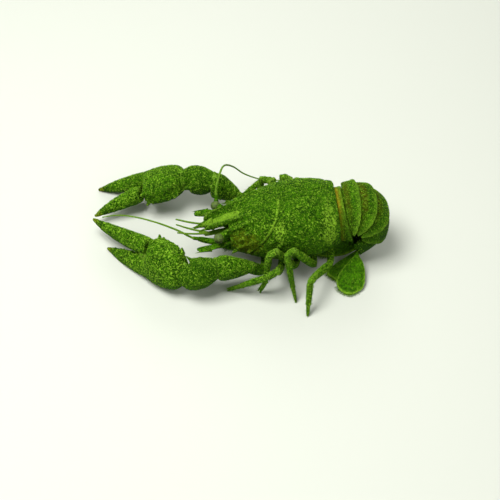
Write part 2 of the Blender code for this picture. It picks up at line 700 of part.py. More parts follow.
def abdomen():
    """Six rings of shell round the curl, each stepped up over the next."""
    face_up = (on_body(0, 0, 1) - on_body(0, 0, 0)).normalized()
    face_out = (on_body(-1, 0, 0) - on_body(0, 0, 0)).normalized()
    start = on_body(0, 0, (CURL.z - REAR_EDGE.z) / math.cos(HEAD_DOWN))
    for number, half in enumerate(ABDOMEN_WIDTHS, start=1):
        rings = []
        if number == 1:
            for back in (GAP, 3 * GAP):
                shift = face_out * back
                rings.append(tail_ring(start, face_up, shift, half - 0.4, FIRST_HEIGHT, FIRST_FLAP))
            angle = math.radians(SEAMS[0])
            out = Vector((math.cos(angle), 0, math.sin(angle)))
            back = Vector((-math.sin(angle), 0, math.cos(angle))) * HALF_GAP
            rings.append(tail_ring(CURL, out, back, half, curl_radius(SEAMS[0]) - 0.3, FIRST_FLAP))
        else:
            first, last = SEAMS[number - 2], SEAMS[number - 1]
            for part, lift, inner in RING_STAGES:
                degrees = first + (last - first) * part
                angle = math.radians(degrees)
                out = Vector((math.cos(angle), 0, math.sin(angle)))
                ahead = Vector((math.sin(angle), 0, -math.cos(angle)))
                shift = HALF_GAP if part == 0 else -HALF_GAP if part == 1 else 0
                radius = curl_radius(degrees) + lift
                width = half + lift * 0.5
                rings.append(tail_ring(CURL, out, ahead * shift, width, radius, inner))
        bm = loft(rings)
        flatten_on_floor(bm)
        part = place_object(f"abdomen_{number}", bm, "spiny-cheek crayfish")
        finish(part, "shell, abdomen", RUST if number in (2, 3, 4) else OLIVE, 0.5)


def tail_plate(name, side, start, rows):
    """A flat plate of the tail fan, from the end of the last ring along its rows of places."""
    angle = math.radians(SEAMS[-1])
    out = Vector((math.cos(angle), 0, math.sin(angle)))
    ahead = Vector((math.sin(angle), 0, -math.cos(angle)))
    reach, across, wide, deep = start
    root = CURL + out * reach + ahead * HALF_GAP + Vector((0, side * across, 0))
    stations = [("plate", root, wide, deep)]
    for x, y, z, wide, deep in rows:
        stations.append(("plate", Vector((x, side * y, z)), wide, deep))
    way = stations[2][1] - stations[1][1]
    bm = limb(stations, {"plate": way.cross(UP).normalized()}, sides=12, starts=ahead)["plate"]
    flatten_on_floor(bm)
    plate = place_object(name, bm, "spiny-cheek crayfish")
    finish(plate, "shell, tail fan", HORN, 0.45)


def tail_fan():
    """Telson and the two plates on each side of it, laid on the ground under the body."""
    tail_plate("telson", RIGHT, TELSON_START, TELSON)
    for side in (LEFT, RIGHT):
        tail_plate(f"uropod_inner_{SIDE_NAMES[side]}", side, INNER_START, INNER_PLATE)
        tail_plate(f"uropod_outer_{SIDE_NAMES[side]}", side, OUTER_START, OUTER_PLATE)


def head_way():
    """The way in which the head points."""
    return (on_body(1, 0, 0) - on_body(0, 0, 0)).normalized()


def head_stations(side, rows):
    """Stations of a limb of the head, from rows in the shield's frame."""
    made = []
    for forward, across, high, wide, deep in rows:
        made.append(("limb", on_body(forward, side * across, high), wide, deep))
    return made


def eye(side):
    """An eye on its stalk under the rostrum's edge."""
    across, high = EYE_ROOT
    root = on_body(FACE + GAP, side * across, high)
    forward, across, high = EYE_MIDDLE
    middle = on_body(forward, side * across, high)
    way = (middle - root).normalized()
    seat = middle - way * EYE_SEAT
    stations = [
        ("stalk", root, 1.2, 1.2), ("stalk", between(root, seat, 0.5), 1.1, 1.15),
        ("stalk", seat, 1.25, 1.25),
    ]
    stalk = limb(stations, {"stalk": UP}, sides=10, starts=head_way())["stalk"]
    made = place_object(f"eyestalk_{SIDE_NAMES[side]}", stalk, "spiny-cheek crayfish")
    finish(made, "shell, head", OLIVE, 0.5)
    bm = bmesh.new()
    bmesh.ops.create_uvsphere(bm, u_segments=14, v_segments=9, radius=EYE_RADIUS)
    bmesh.ops.translate(bm, verts=bm.verts, vec=middle)
    cut = bmesh.ops.bisect_plane(
        bm, geom=bm.verts[:] + bm.edges[:] + bm.faces[:],
        plane_co=seat + way * GAP, plane_no=way, clear_inner=True,
    )
    rim = [part for part in cut["geom_cut"] if isinstance(part, bmesh.types.BMEdge)]
    bmesh.ops.edgeloop_fill(bm, edges=rim)
    bmesh.ops.recalc_face_normals(bm, faces=bm.faces)
    made = place_object(f"eye_{SIDE_NAMES[side]}", bm, "spiny-cheek crayfish")
    finish(made, "eye", EYE_BLACK, 0.15)


def whip(name, places):
    """A feeler that tapers along a smooth curve through its places."""
    line = []
    rounds = 6
    for i in range(len(places) - 1):
        before = places[max(i - 1, 0)]
        after = places[min(i + 2, len(places) - 1)]
        a, b = places[i], places[i + 1]
        run = interpolate_bezier(a, a + (b - before) / 6, b - (after - a) / 6, b, rounds + 1)
        line.extend(run[:-1])
    line.append(places[-1])
    curve = bpy.data.curves.new(name, "CURVE")
    curve.dimensions = "3D"
    curve.bevel_depth = MM
    curve.bevel_resolution = 1
    curve.use_fill_caps = True
    spline = curve.splines.new("POLY")
    spline.points.add(len(line) - 1)
    for i, (point, spot) in enumerate(zip(spline.points, line)):
        point.co = (*((spot - MIDDLE) * MM), 1)
        point.radius = FEELER_THICK + (FEELER_THIN - FEELER_THICK) * i / (len(line) - 1)
    made = bpy.data.objects.new(name, curve)
    collection("spiny-cheek crayfish").objects.link(made)
    curve.materials.append(material("shell, feelers", HORN, 0.5))


def feeler(side):
    """A big feeler on its jointed base."""
    across, high = FEELER_ROOT
    root = on_body(FACE + GAP, side * across, high)
    first, second, end = [Vector(spot) for spot in FEELER_JOINTS[side]]
    stations = [
        ("base", root, 1.2, 1.2), ("base", between(root, first, 0.6), 1.25, 1.2),
        ("base", first, 0.95, 0.95), ("base", between(first, second, 0.4), 1.05, 1.0),
        ("base", second, 0.85, 0.85), ("base", between(second, end, 0.5), 0.95, 0.9),
        ("base", end, 0.6, 0.6),
    ]
    bm = limb(stations, {"base": UP}, sides=8, starts=head_way())["base"]
    made = place_object(f"antenna_base_{SIDE_NAMES[side]}", bm, "spiny-cheek crayfish")
    finish(made, "shell, head", HORN, 0.5)
    way = (end - second).normalized()
    places = [end + way * GAP, end + way * 2] + [Vector(spot) for spot in FEELER_WHIPS[side]]
    whip(f"antenna_flagellum_{SIDE_NAMES[side]}", places)


def scale(side):
    """The leaf-shaped scale beside a feeler, with a point at its outer corner."""
    stations = head_stations(side, SCALE)
    bm = limb(stations, {"limb": Vector((0, side, 0.25))}, sides=8, starts=head_way())["limb"]
    made = place_object(f"antenna_scale_{SIDE_NAMES[side]}", bm, "spiny-cheek crayfish")
    ends = (SCALE_CORNER, SCALE_TIP)
    corner, tip = [on_body(forward, side * across, high) for forward, across, high in ends]
    boolean(made, "UNION", [spine(corner, tip - corner, (tip - corner).length, 0.5)])
    finish(made, "shell, head", HORN, 0.5)


def small_feeler(side):
    """A small feeler: short joints, then two thin whips."""
    bm = limb(head_stations(side, SMALL_FEELER), {"limb": UP}, sides=8, starts=head_way())["limb"]
    made = place_object(f"antennule_{SIDE_NAMES[side]}", bm, "spiny-cheek crayfish")
    whips = []
    for rise, spread in SMALL_WHIPS:
        start = on_body(37.4, side * (1.6 + 0.1 * spread), 11.0 + 0.1 * rise)
        end = on_body(46.0, side * (1.7 + spread), 10.8 + rise)
        middle = between(start, end, 0.5) - UP * 0.5
        path = [("whip", start, 0.38, 0.38), ("whip", middle, 0.32, 0.32), ("whip", end, 0.25, 0.25)]
        whips.append(limb(path, {"whip": UP}, sides=6)["whip"])
    boolean(made, "UNION", whips)
    finish(made, "shell, feelers", HORN, 0.5)


def mouth_limb(side):
    """The outermost mouth limb, folded forward under the head."""
    bm = limb(head_stations(side, MOUTH_LIMB), {"limb": UP}, sides=8, starts=FORWARD)["limb"]
    made = place_object(f"maxilliped_{SIDE_NAMES[side]}", bm, "spiny-cheek crayfish")
    finish(made, "shell, underside", PALE, 0.5)


def main():
    clear_scene()
    head_and_thorax()
    breast_plate()
    abdomen()
    tail_fan()
    for side in (LEFT, RIGHT):
        eye(side)
        feeler(side)
        scale(side)
        small_feeler(side)
        mouth_limb(side)
        claw_arm(side)
        palm(side)
        free_finger(side)
        for name in LEGS:
            walking_leg(name, side)


main()
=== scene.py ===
"""Dresses the crayfish's solids in their fine shell and stands it on a studio floor.

The animal faces -X, its left side is towards -Y and the floor is z = 0. Named sizes are in
millimetres unless they say otherwise, and MM turns them into metres. The shield of head and
thorax has a frame of its own, (forward, across, high), counted from its rear edge.
"""

import math

import bmesh
import bpy
import numpy as np
from bpy.props import FloatProperty, FloatVectorProperty, PointerProperty
from mathutils import Matrix, Vector
from mathutils.bvhtree import BVHTree


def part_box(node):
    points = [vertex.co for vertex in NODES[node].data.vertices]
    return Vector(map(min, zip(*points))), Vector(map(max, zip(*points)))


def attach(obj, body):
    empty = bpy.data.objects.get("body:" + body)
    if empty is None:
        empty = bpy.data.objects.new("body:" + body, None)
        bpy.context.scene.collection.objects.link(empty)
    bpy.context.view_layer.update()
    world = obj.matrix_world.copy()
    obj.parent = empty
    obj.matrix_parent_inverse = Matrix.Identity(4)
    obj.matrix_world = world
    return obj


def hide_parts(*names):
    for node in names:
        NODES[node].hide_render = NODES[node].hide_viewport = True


bl_info = {
    "name": "Spiny-cheek crayfish",
    "version": (1, 0, 0),
    "blender": (4, 5, 0),
    "location": "View3D > Sidebar > Crayfish",
    "description": "Gives the crayfish its fine shell, spines, bristles, colours and studio",
    "category": "Add Mesh",
}

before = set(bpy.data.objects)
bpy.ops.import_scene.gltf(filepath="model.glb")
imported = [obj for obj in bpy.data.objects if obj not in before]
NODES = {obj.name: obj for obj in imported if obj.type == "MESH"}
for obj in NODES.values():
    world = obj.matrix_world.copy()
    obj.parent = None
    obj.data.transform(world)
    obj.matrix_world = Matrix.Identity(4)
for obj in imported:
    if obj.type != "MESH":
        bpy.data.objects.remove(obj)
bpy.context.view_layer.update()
MM = 0.001
SIDES = ("left", "right")
UP = Vector((0, 0, 1))
LEFT, RIGHT = -1, 1
SIDE_SIGNS = {"left": LEFT, "right": RIGHT}
LEG_NUMBERS = (2, 3, 4, 5)

# The shield's own frame, with the middle line of the back
HEAD_DOWN = math.radians(8)
REAR_EDGE = Vector((28.64, -1.99, 5.2))
MIDLINE = -1.99
# The beak: forward, half width, height of its upper face; and the ridge behind each eye
BEAK = ((25, 3.2, 17.9), (28, 3.7, 17.3), (32, 3.3, 16.2), (36.8, 2.8, 14.5), (38, 1.5, 14.0))
EYE_RIDGE = ((21, 4.7), (23.5, 5.0), (27, 5.1), (30.4, 4.9))
# The beak's points, each root, tip and radius: one to a side, and the one at the end
BEAK_SIDE = ((35.4, 2.35, 14.7), (40.2, 2.95, 14.4), 0.62)
BEAK_END = ((36.4, 0, 13.8), (42.0, 0, 12.9), 1.2)
# Patches on the shield, each middle and radii, seen from above or from the side
TROUGH = ((33.0, -0.6), (5.4, 1.4))
REAR_PATCH = ((2.9, 14.5), (1.9, 5.4))
NECK_PATCH = ((17.2, 9.0), (1.7, 1.7))
CHEEK = ((26.6, 11.6), (4.2, 3.6))
# The neck groove: its slope, where it crosses the top of the back (forward, high), and how far
# forward the line of its silt lies at height 0
GROOVE_SLOPE = 0.75
GROOVE_TOP = (15.5, 21.1)
GROOVE_SILT = 31.9

# The curl of the abdomen: its centre in the world, its radii along and up, and its half width
CURL = Vector((31.24, -1.99, 12.8))
CURL_RADII = (11.9, 11.2)
CURL_HALF = 8.2
# The skin under the rings: its cuts in degrees round the curl, how far in it lies, how thick it is,
# and how near the curl's centre its feet come
LINING_CUTS = range(107, -83, -5)
LINING_DEPTH = 1.1
LINING_THICKNESS = 1.0
LINING_FEET = (3.0, 3.2)
# Rust bands: from and to in degrees round the curl, how soft and how strong
BANDS = ((95, 104, 3, 0.8), (68, 78, 3, 0.9), (40, 50, 4, 0.6), (5, 17, 4, 0.5))

# Wrist, tip of the fixed finger and tip of the free finger of each claw
CLAWS = {
    "left": ((-17.76, -16.29, 7.2), (-39.36, 1.61, 0.3), (-43.16, 8.41, 6.0)),
    "right": ((-15.36, 20.01, 10.0), (-41.86, 25.41, 0.3), (-42.76, 11.41, 3.8)),
}
# Hinge of the free finger: along the palm from the wrist, and in towards the other claw
HINGE = (12.9, 5.6)
CLAW_PARTS = ("base", "arm", "wrist", "palm", "finger")
TOOTH_STEPS = 15

# Knee, shin, ankle and toe of each left leg, counted from the middle line, and how the right
# ones stand off from their mirror
LEG_JOINTS = {
    2: ((8.54, 16.6, 10.6), (5.64, 17.8, 9.8), (-1.56, 15.8, 3.8), (-5.06, 14.4, 0.2)),
    3: ((8.24, 13.3, 15.4), (6.14, 14.6, 15.2), (5.64, 15.4, 4.2), (4.24, 15.6, 0.1)),
    4: ((13.24, 13.5, 15.6), (11.24, 14.8, 15.2), (13.34, 17.8, 4.2), (14.24, 19.8, 0.1)),
    5: ((19.04, 18.2, 9.4), (17.54, 20.3, 9.4), (17.14, 23.4, 3.0), (16.94, 24.9, 0.1)),
}
RIGHT_STEP = {2: (2.6, 2.2), 3: (1.0, 0.6), 4: (2.0, 0.8), 5: (0.9, -0.7)}

# Tail plates, counted from the middle line: root, tip and half width
PLATES = {
    "telson": ((31.2, 0.0), (22.0, 0.0), 4.2),
    "uropod_inner": ((32.0, 6.4), (26.04, 11.8), 3.0),
    "uropod_outer": ((33.4, 8.9), (29.84, 18.1), 4.4),
}
# Hairs along a plate's edge, and how far round its end they reach in degrees
FRINGE_STEPS = 110
FRINGE_REACH = 100

EYE_RADIUS = 1.45
# One ring of a feeler is this long
FEELER_RING = 0.42
# The limbs under the rings: where their roots lie in degrees round the curl, and for each of
# their two blades the angle and length
SWIMMERETS = (84, 54, 24, -6)
BLADES = ((-13, 7.6), (11, 6.6))

# How many weeds and crumbs are scattered over each piece, before the ones that face down are
# dropped, and the share that is crumbs
WEED = {
    "shield": 15000, "ring": 1800, "leg": 1100,
    "base": 400, "arm": 2200, "wrist": 2400, "palm": 5200, "finger": 2600,
}
CRUMB_SHARE = 0.45
# How many bristles stand on a leg's lower part and on a mouth limb
BRISTLES = {"toe": 150, "mouth": 900}
# Seeds of the random draws, to which most kinds add something of the piece's own
SEEDS = {"shield": 1, "swimmerets": 5, "ring": 10, "claw": 20, "leg": 30, "toe": 50, "mouth": 70}
# Half the width of a hair's patch on its map
PATCH = 0.0015
# Width of the cells of the smaller pieces' mesh
CELLS = {"plate": 0.14, "small feeler": 0.09, "sternum": 0.28, "maxilliped": 0.16}

# Between which bends the surface gets a painted highlight as a rim, and painted shade as a nook
RIM_HIGHLIGHT_BEND = (0.515, 0.59)
NOOK_SHADE_BEND = (0.41, 0.49)
# Noise in the finishes: size in millimetres, detail, roughness, twist, and where it turns from 0 to 1
CLOUDS = {
    "blotches": (3.2, 4.0, 0.62, 0.0, 0.38, 0.66),
    "fine": (0.7, 3.0, 0.75, 0.0, 0.43, 0.58),
    "drift": (4.0, 4.0, 0.65, 0.6, 0.36, 0.68),
    "crumbs": (1.3, 4.0, 0.75, 0.0, 0.45, 0.62),
    "pits": (0.62, 2.0, 0.6, 0.0, 0.39, 0.47),
    "cheek": (0.6, 3.0, 0.7, 0.0, 0.36, 0.62),
    "heap": (1.5, 4.0, 0.7, 1.0, 0.45, 0.55),
    "patches": (0.9, 3.0, 0.7, 0.0, 0.38, 0.62),
    "mottle": (0.7, 3.0, 0.7, 0.0, 0.36, 0.62),
    "skin": (0.8, 4.0, 0.65, 0.0, 0.36, 0.64),
    "fine skin": (0.5, 4.0, 0.65, 0.0, 0.36, 0.64),
    "weed": (0.8, 4.0, 0.65, 0.0, 0.40, 0.60),
}

# The studio, in metres: floor, sky, and for each lamp its place, size and power in watts
FLOOR_WIDTH = 6
FLOOR_COLOUR = (0.66, 0.68, 0.60)
SKY_COLOUR = (0.95, 1.0, 0.93, 1)
SKY_STRENGTH = 0.25
LAMPS = {
    "main light": ((-0.16, -0.05, 0.43), 0.24, 2.5),
    "fill light": ((0.30, -0.34, 0.30), 0.40, 0.5),
    "rim light": ((0.10, 0.42, 0.30), 0.30, 0.8),
}
# What the camera looks at, how far it steps to its right and down, and its lens
CAMERA_TARGET = Vector((-7.36, 0.01, 10.0))
CAMERA_SHIFT = (9.9, 7.0)
LENS = 79


def length_prop(name, description, default):
    """A size that a user may change, with its default in millimetres."""
    return FloatProperty(
        name=name, description=description, default=default * MM, unit="LENGTH", precision=6,
    )


def colour_prop(name, description, default):
    return FloatVectorProperty(
        name=name, description=description, default=default, subtype="COLOR", min=0, max=1,
    )


def angle_prop(name, description, degrees):
    return FloatProperty(
        name=name, description=description, default=math.radians(degrees), subtype="ANGLE",
    )


class CrayfishShell(bpy.types.PropertyGroup):
    """Sizes of the shell's surface."""

    cell: length_prop("Cell", "Width of the cells of the shield's and abdomen's mesh", 0.21)
    claw_cell: length_prop("Claw cell", "Width of the cells of the claws' mesh", 0.17)
    leg_cell: length_prop("Leg cell", "Width of the cells of the legs' mesh", 0.13)
    grain: length_prop("Grain", "Height of the knobs and hollows all over the shell", 0.16)
    furrow: length_prop("Furrow", "Depth of the furrows along the back", 0.3)


class CrayfishColours(bpy.types.PropertyGroup):
    """Colours of the shell, its marks and what has settled on it."""

    # dark is also the colour of the painted shade in nooks, low on the curl and on the wrists.
    dark: colour_prop("Dark shell", "Colour in the shell's dark patches", (0.013, 0.050, 0.001))
    olive: colour_prop("Olive shell", "Colour of the shell's light patches", (0.058, 0.188, 0.002))
    silt: colour_prop("Silt", "Colour of the specks of silt that lie on the shell", (0.28, 0.53, 0.032))
    rust: colour_prop("Rust bands", "Colour of the bands across the abdomen", (0.078, 0.052, 0.002))
    orange: colour_prop("Orange", "Colour of the joints' rims and the finger tips", (0.20, 0.13, 0.006))
    # pale is also the colour of the painted highlight on rims and knob tops.
    pale: colour_prop("Pale shell", "Colour of the underside and of worn rims", (0.20, 0.34, 0.035))
    eye: colour_prop("Eye", "Colour of the eyeball", (0.020, 0.028, 0.009))


class CrayfishStage(bpy.types.PropertyGroup):
    """Where the camera stands, and how bright the studio is."""

    azimuth: angle_prop("Azimuth", "How far the camera stands round the animal", -8)
    elevation: angle_prop("Elevation", "How high the camera looks down from", 50)
    roll: angle_prop("Roll", "How far the camera leans", 3.5)
    distance: length_prop("Distance", "From the camera to the animal", 320)
    light: FloatProperty(name="Light", description="Strength of all the lamps", default=1.0, min=0)


def newest(name):
    """Names the object that an operator has just added."""
    made = bpy.context.object
    made.name = name
    made.data.name = name
    return made


def choose(made):
    """Selects one object alone and makes it active."""
    for other in bpy.context.selected_objects:
        other.select_set(False)
    made.select_set(True)
    bpy.context.view_layer.objects.active = made


def modify(made, kind, **settings):
    """Adds a modifier, sets it and applies it."""
    choose(made)
    bpy.ops.object.modifier_add(type=kind)
    step = made.modifiers[-1]
    for name, value in settings.items():
        setattr(step, name, value)
    bpy.ops.object.modifier_apply(modifier=step.name)


def read_points(mesh, what):
    flat = np.empty(len(mesh.vertices) * 3, np.float32)
    mesh.vertices.foreach_get(what, flat)
    return flat.reshape(-1, 3).astype(float)


def place_of(mesh):
    """The mesh's points in millimetres, one row each."""
    return read_points(mesh, "co") / MM


def set_places(mesh, points):
    mesh.vertices.foreach_set("co", (points * MM).astype(np.float32).ravel())
    mesh.update()


def raise_surface(made, height):
    """Moves each point along its normal by height(points), in millimetres."""
    points = place_of(made.data)
    points += read_points(made.data, "normal") * height(points)[:, None]
    set_places(made.data, points)


def keep_over_floor(made):
    points = place_of(made.data)
    points[:, 2] = np.maximum(points[:, 2], 0.0)
    set_places(made.data, points)


def unit(rows):
    """Each row at length 1."""
    return rows / np.linalg.norm(rows, axis=1)[:, None]


def reach_of(points, place):
    """How far each point is from one place."""
    return np.linalg.norm(points - np.array(place), axis=1)


def middle_of(node):
    """The middle of a node's box, in metres."""
    low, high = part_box(node)
    return (Vector(low) + Vector(high)) / 2


def linked(name, mesh):
    """A new object of a mesh."""
    made = bpy.data.objects.new(name, mesh)
    bpy.context.scene.collection.objects.link(made)
    return made


def finished(name, bm):
    """A new object of a bmesh, which ends here."""
    mesh = bpy.data.meshes.new(name)
    bm.to_mesh(mesh)
    bm.free()
    return linked(name, mesh)


def in_shield(points):
    """Forward, across and high of points in the world, in the shield's own frame."""
    turn = np.array(Matrix.Rotation(HEAD_DOWN, 3, "Y"))
    local = (points - np.array(REAR_EDGE)) @ turn.T
    return -local[:, 0], local[:, 1], local[:, 2]


def on_shield(forward, across, high):
    """A place of the shield's frame, out in the world."""
    return REAR_EDGE + Matrix.Rotation(-HEAD_DOWN, 3, "Y") @ Vector((-forward, across, high))


def round_curl(degrees):
    """The way out from the curl's middle, level to the rear at 0 and up at 90."""
    turn = math.radians(degrees)
    return Vector((math.cos(turn), 0, math.sin(turn)))


def hill(value, width):
    """1 in the middle, about a third at the width and almost 0 at twice the width."""
    return np.exp(-((value / width) ** 2))


def step_up(value, low, high):
    """Rises smoothly from 0 to 1 between low and high."""
    t = np.clip((value - low) / (high - low), 0, 1)
    return t * t * (3 - 2 * t)


def mark(made, name, values):
    """Keeps a number for each point, which a finish can read."""
    layer = made.data.attributes.new(name, "FLOAT", "POINT")
    layer.data.foreach_set("value", np.asarray(values, np.float32))


def tree_of(*nodes):
    """A search tree of some nodes' surfaces."""
    bm = bmesh.new()
    for node in nodes:
        bm.from_mesh(NODES[node].data)
    tree = BVHTree.FromBMesh(bm)
    bm.free()
    return tree


def edge_of(made, neighbour, reach):
    """1 at the edge that faces a neighbouring node and 0 further in, looked for up to a reach."""
    tree = tree_of(neighbour)
    far = []
    for vert in made.data.vertices:
        near = tree.find_nearest(vert.co, reach * MM)[3]
        far.append(reach if near is None else near / MM)
    return hill(np.array(far), 1.1)


def solid_copy(name, nodes, crease=0.75):
    """A merged copy of some nodes with quads where they fit, and the tips of its spines."""
    bm = bmesh.new()
    for node in nodes:
        bm.from_mesh(NODES[node].data)
    bmesh.ops.remove_doubles(bm, verts=bm.verts, dist=0.002 * MM)
    tips = list(spine_tips(bm))
    bmesh.ops.join_triangles(
        bm, faces=bm.faces, angle_face_threshold=math.radians(35),
        angle_shape_threshold=math.radians(55),
    )
    sharp = bm.edges.layers.float.new("crease_edge")
    for edge in bm.edges:
        if edge.calc_face_angle(0) > math.radians(52):
            edge[sharp] = crease
    return finished(name, bm), tips


def spine_tips(bm, fewest=5, narrow=0.86):
    """Root, tip and root radius of each spine: a point whose edges all run back close together."""
    for vert in bm.verts:
        arms = [edge.other_vert(vert).co - vert.co for edge in vert.link_edges]
        if len(arms) < fewest:
            continue
        back = sum((arm.normalized() for arm in arms), Vector()) / len(arms)
        if back.length < narrow:
            continue
        back.normalize()
        reach = max(arm.dot(back) for arm in arms)
        wide = max((arm - back * arm.dot(back)).length * reach / max(arm.dot(back), 1e-9) for arm in arms)
        yield vert.co + back * reach, vert.co.copy(), wide


def subdivide(cuts):
    """Cuts every face of the object that an operator has just added."""
    bpy.ops.object.mode_set(mode="EDIT")
    bpy.ops.mesh.select_all(action="SELECT")
    bpy.ops.mesh.subdivide(number_cuts=cuts)
    bpy.ops.object.mode_set(mode="OBJECT")


def thorn_shape():
    """A slightly bent spine, one unit long and one unit in radius at its root."""
    bpy.ops.mesh.primitive_cone_add(
        vertices=8, radius1=1, radius2=0.04, depth=1, end_fill_type="TRIFAN", location=(0, 0, 0.5)
    )
    made = newest("thorn")
    bpy.ops.object.transform_apply(location=True, rotation=True, scale=True)
    subdivide(2)
    for vert in made.data.vertices:
        rise = vert.co.z
        waist = 1 - 0.3 * math.sin(math.pi * rise)
        vert.co.x = vert.co.x * waist + 0.35 * rise * rise
        vert.co.y *= waist
    return take_mesh(made)


def knob_shape():
    """A low rounded knob, one unit in radius."""
    bpy.ops.mesh.primitive_ico_sphere_add(subdivisions=2, radius=1)
    return take_mesh(newest("knob"))


def take_mesh(made):
    """Keeps an object's mesh as a shape to be copied, and drops the object."""
    mesh = made.data
    bpy.data.objects.remove(made)
    return mesh


def aim(root, tip, radius):
    """The matrix that stands a unit shape on its root with its end at the tip."""
    way = tip - root
    tall = way.length
    way.normalize()
    side = UP.cross(way)
    if side.length < 0.01:
        side = Vector((0, 1, 0)).cross(way)
    side.normalize()
    turn = Matrix((side.cross(way), side, way)).transposed().to_4x4()
    return Matrix.Translation(root) @ turn @ Matrix.Diagonal((radius, radius, tall, 1))


def knob_at(place, radius):
    return Matrix.Translation(place) @ Matrix.Diagonal((radius, radius, radius, 1))


def stamp(made, shape, places):
    """Joins a copy of a shape to a piece at each of the places."""
    bm = bmesh.new()
    bm.from_mesh(made.data)
    for matrix in places:
        copy = shape.copy()
        copy.transform(matrix)
        bm.from_mesh(copy)
        bpy.data.meshes.remove(copy)
    bmesh.ops.recalc_face_normals(bm, faces=bm.faces)
    bm.to_mesh(made.data)
    bm.free()


def grow_out(made, nodes, more):
    """Makes up for what rounding has taken off, so that the shell fills its solid again."""
    solid = tree_of(*nodes)
    gaps = [solid.find_nearest(vert.co)[3] for vert in list(made.data.vertices)[::7]]
    lost = float(np.mean(gaps)) / MM + more
    raise_surface(made, lambda points: np.full(len(points), lost))


def shell(name, nodes, cell, thorns=(), knobs=(), smoothing=2, crease=0.75, more=0.0):
    """A fine rounded shell in place of some nodes, and the places of its spines."""
    made, tips = solid_copy(name, nodes, crease)
    modify(made, "SUBSURF", levels=2, render_levels=2)
    grow_out(made, nodes, more)
    spines = [aim(root + (root - tip) * 0.12, tip, wide * 1.15) for root, tip, wide in tips]
    spines += thorns
    stamp(made, THORN, spines)
    stamp(made, KNOB, list(knobs))
    modify(made, "REMESH", mode="VOXEL", voxel_size=cell, use_smooth_shade=True)
    modify(made, "SMOOTH", factor=0.5, iterations=smoothing)
    return made, spines


def roughen(made, height, **shares):
    """Raises and lowers the shell by some of the grains, each by a share of the height."""
    for name, share in shares.items():
        modify(
            made, "DISPLACE", texture=GRAINS[name], texture_coords="LOCAL", strength=height * share,
            mid_level=0.5,
        )


def grain_texture(name, kind, size, **settings):
    made = bpy.data.textures.new(name, kind)
    made.noise_scale = size * MM
    for key, value in settings.items():
        setattr(made, key, value)
    return made


def settle(made, finish, nodes, spines=()):
    """Last steps of a piece: sharp spines, over the floor, painted, and in place of its nodes."""
    stamp(made, THORN, [matrix @ Matrix.Diagonal((0.8, 0.8, 1, 1)) for matrix in spines])
    keep_over_floor(made)
    choose(made)
    bpy.ops.object.shade_smooth()
    made.data.materials.clear()
    made.data.materials.append(finish)
    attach(made, "root")
    if nodes:
        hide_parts(*nodes)


def meeting(first, second, near=0.75 * MM):
    """Middle, radii and ways of the ring where two nodes face each other; the first way runs along."""
    points = []
    for one, other in ((first, second), (second, first)):
        tree = tree_of(other)
        for vert in NODES[one].data.vertices:
            if tree.find_nearest(vert.co, near)[0] is not None:
                points.append(tuple(vert.co))
    points = np.unique(np.round(np.array(points), 6), axis=0)
    middle = points.mean(axis=0)
    spread, ways = np.linalg.eigh(np.cov((points - middle).T))
    radii = np.sqrt(2 * np.maximum(spread, 0))
    return Vector(middle), radii, [Vector(way) for way in ways.T]


def joint_skin(name, first, second, finish, half, fill=0.9, knobs=0.0):
    """A pleated skin in the gap of a joint, with a round knuckle on each side if asked for."""
    middle, radii, ways = meeting(first, second)
    bpy.ops.mesh.primitive_cylinder_add(vertices=32, radius=1, depth=2, end_fill_type="TRIFAN")
    made = newest(name)
    subdivide(7)
    for vert in made.data.vertices:
        pleat = 0.96 + 0.04 * math.cos(vert.co.z * math.pi * 4)
        vert.co.x *= pleat
        vert.co.y *= pleat
    turn = Matrix((ways[1], ways[2], ways[0])).transposed().to_4x4()
    size = Matrix.Diagonal((radii[1] * fill, radii[2] * fill, half * MM, 1))
    made.data.transform(Matrix.Translation(middle) @ turn @ size)
    if knobs:
        spots = [middle + ways[1] * radii[1] * sign * 0.86 for sign in (LEFT, RIGHT)]
        stamp(made, KNOB, [knob_at(spot, knobs * MM) for spot in spots])
    settle(made, finish, [])


def rooted_on(made, count, draw):
    """Random places spread evenly over a piece, with the way out from each."""
    mesh = made.data
    mesh.calc_loop_triangles()
    corners = np.empty(len(mesh.loop_triangles) * 3, np.int32)
    mesh.loop_triangles.foreach_get("vertices", corners)
    a, b, c = place_of(mesh)[corners.reshape(-1, 3)].transpose(1, 0, 2)
    out = np.cross(b - a, c - a)
    area = np.linalg.norm(out, axis=1)
    chosen = draw.choice(len(area), count, p=area / area.sum())
    first = np.sqrt(draw.random(count))[:, None]
    second = draw.random(count)[:, None]
    roots = (1 - first) * a[chosen] + first * (1 - second) * b[chosen] + first * second * c[chosen]
    return roots, out[chosen] / area[chosen][:, None]


def unwrapped(points, middle, along):
    """Each point's place on the skin laid flat: along the limb or body, and round it."""
    along = np.array(Vector(along).normalized())
    aside = np.cross(along, (0, 0, 1.0))
    aside /= np.linalg.norm(aside)
    local = points - np.array(middle)
    turn = np.arctan2(local @ np.cross(aside, along), local @ aside)
    return np.stack([0.5 + local @ along / 120, 0.5 + turn / math.tau * 0.98], axis=1)


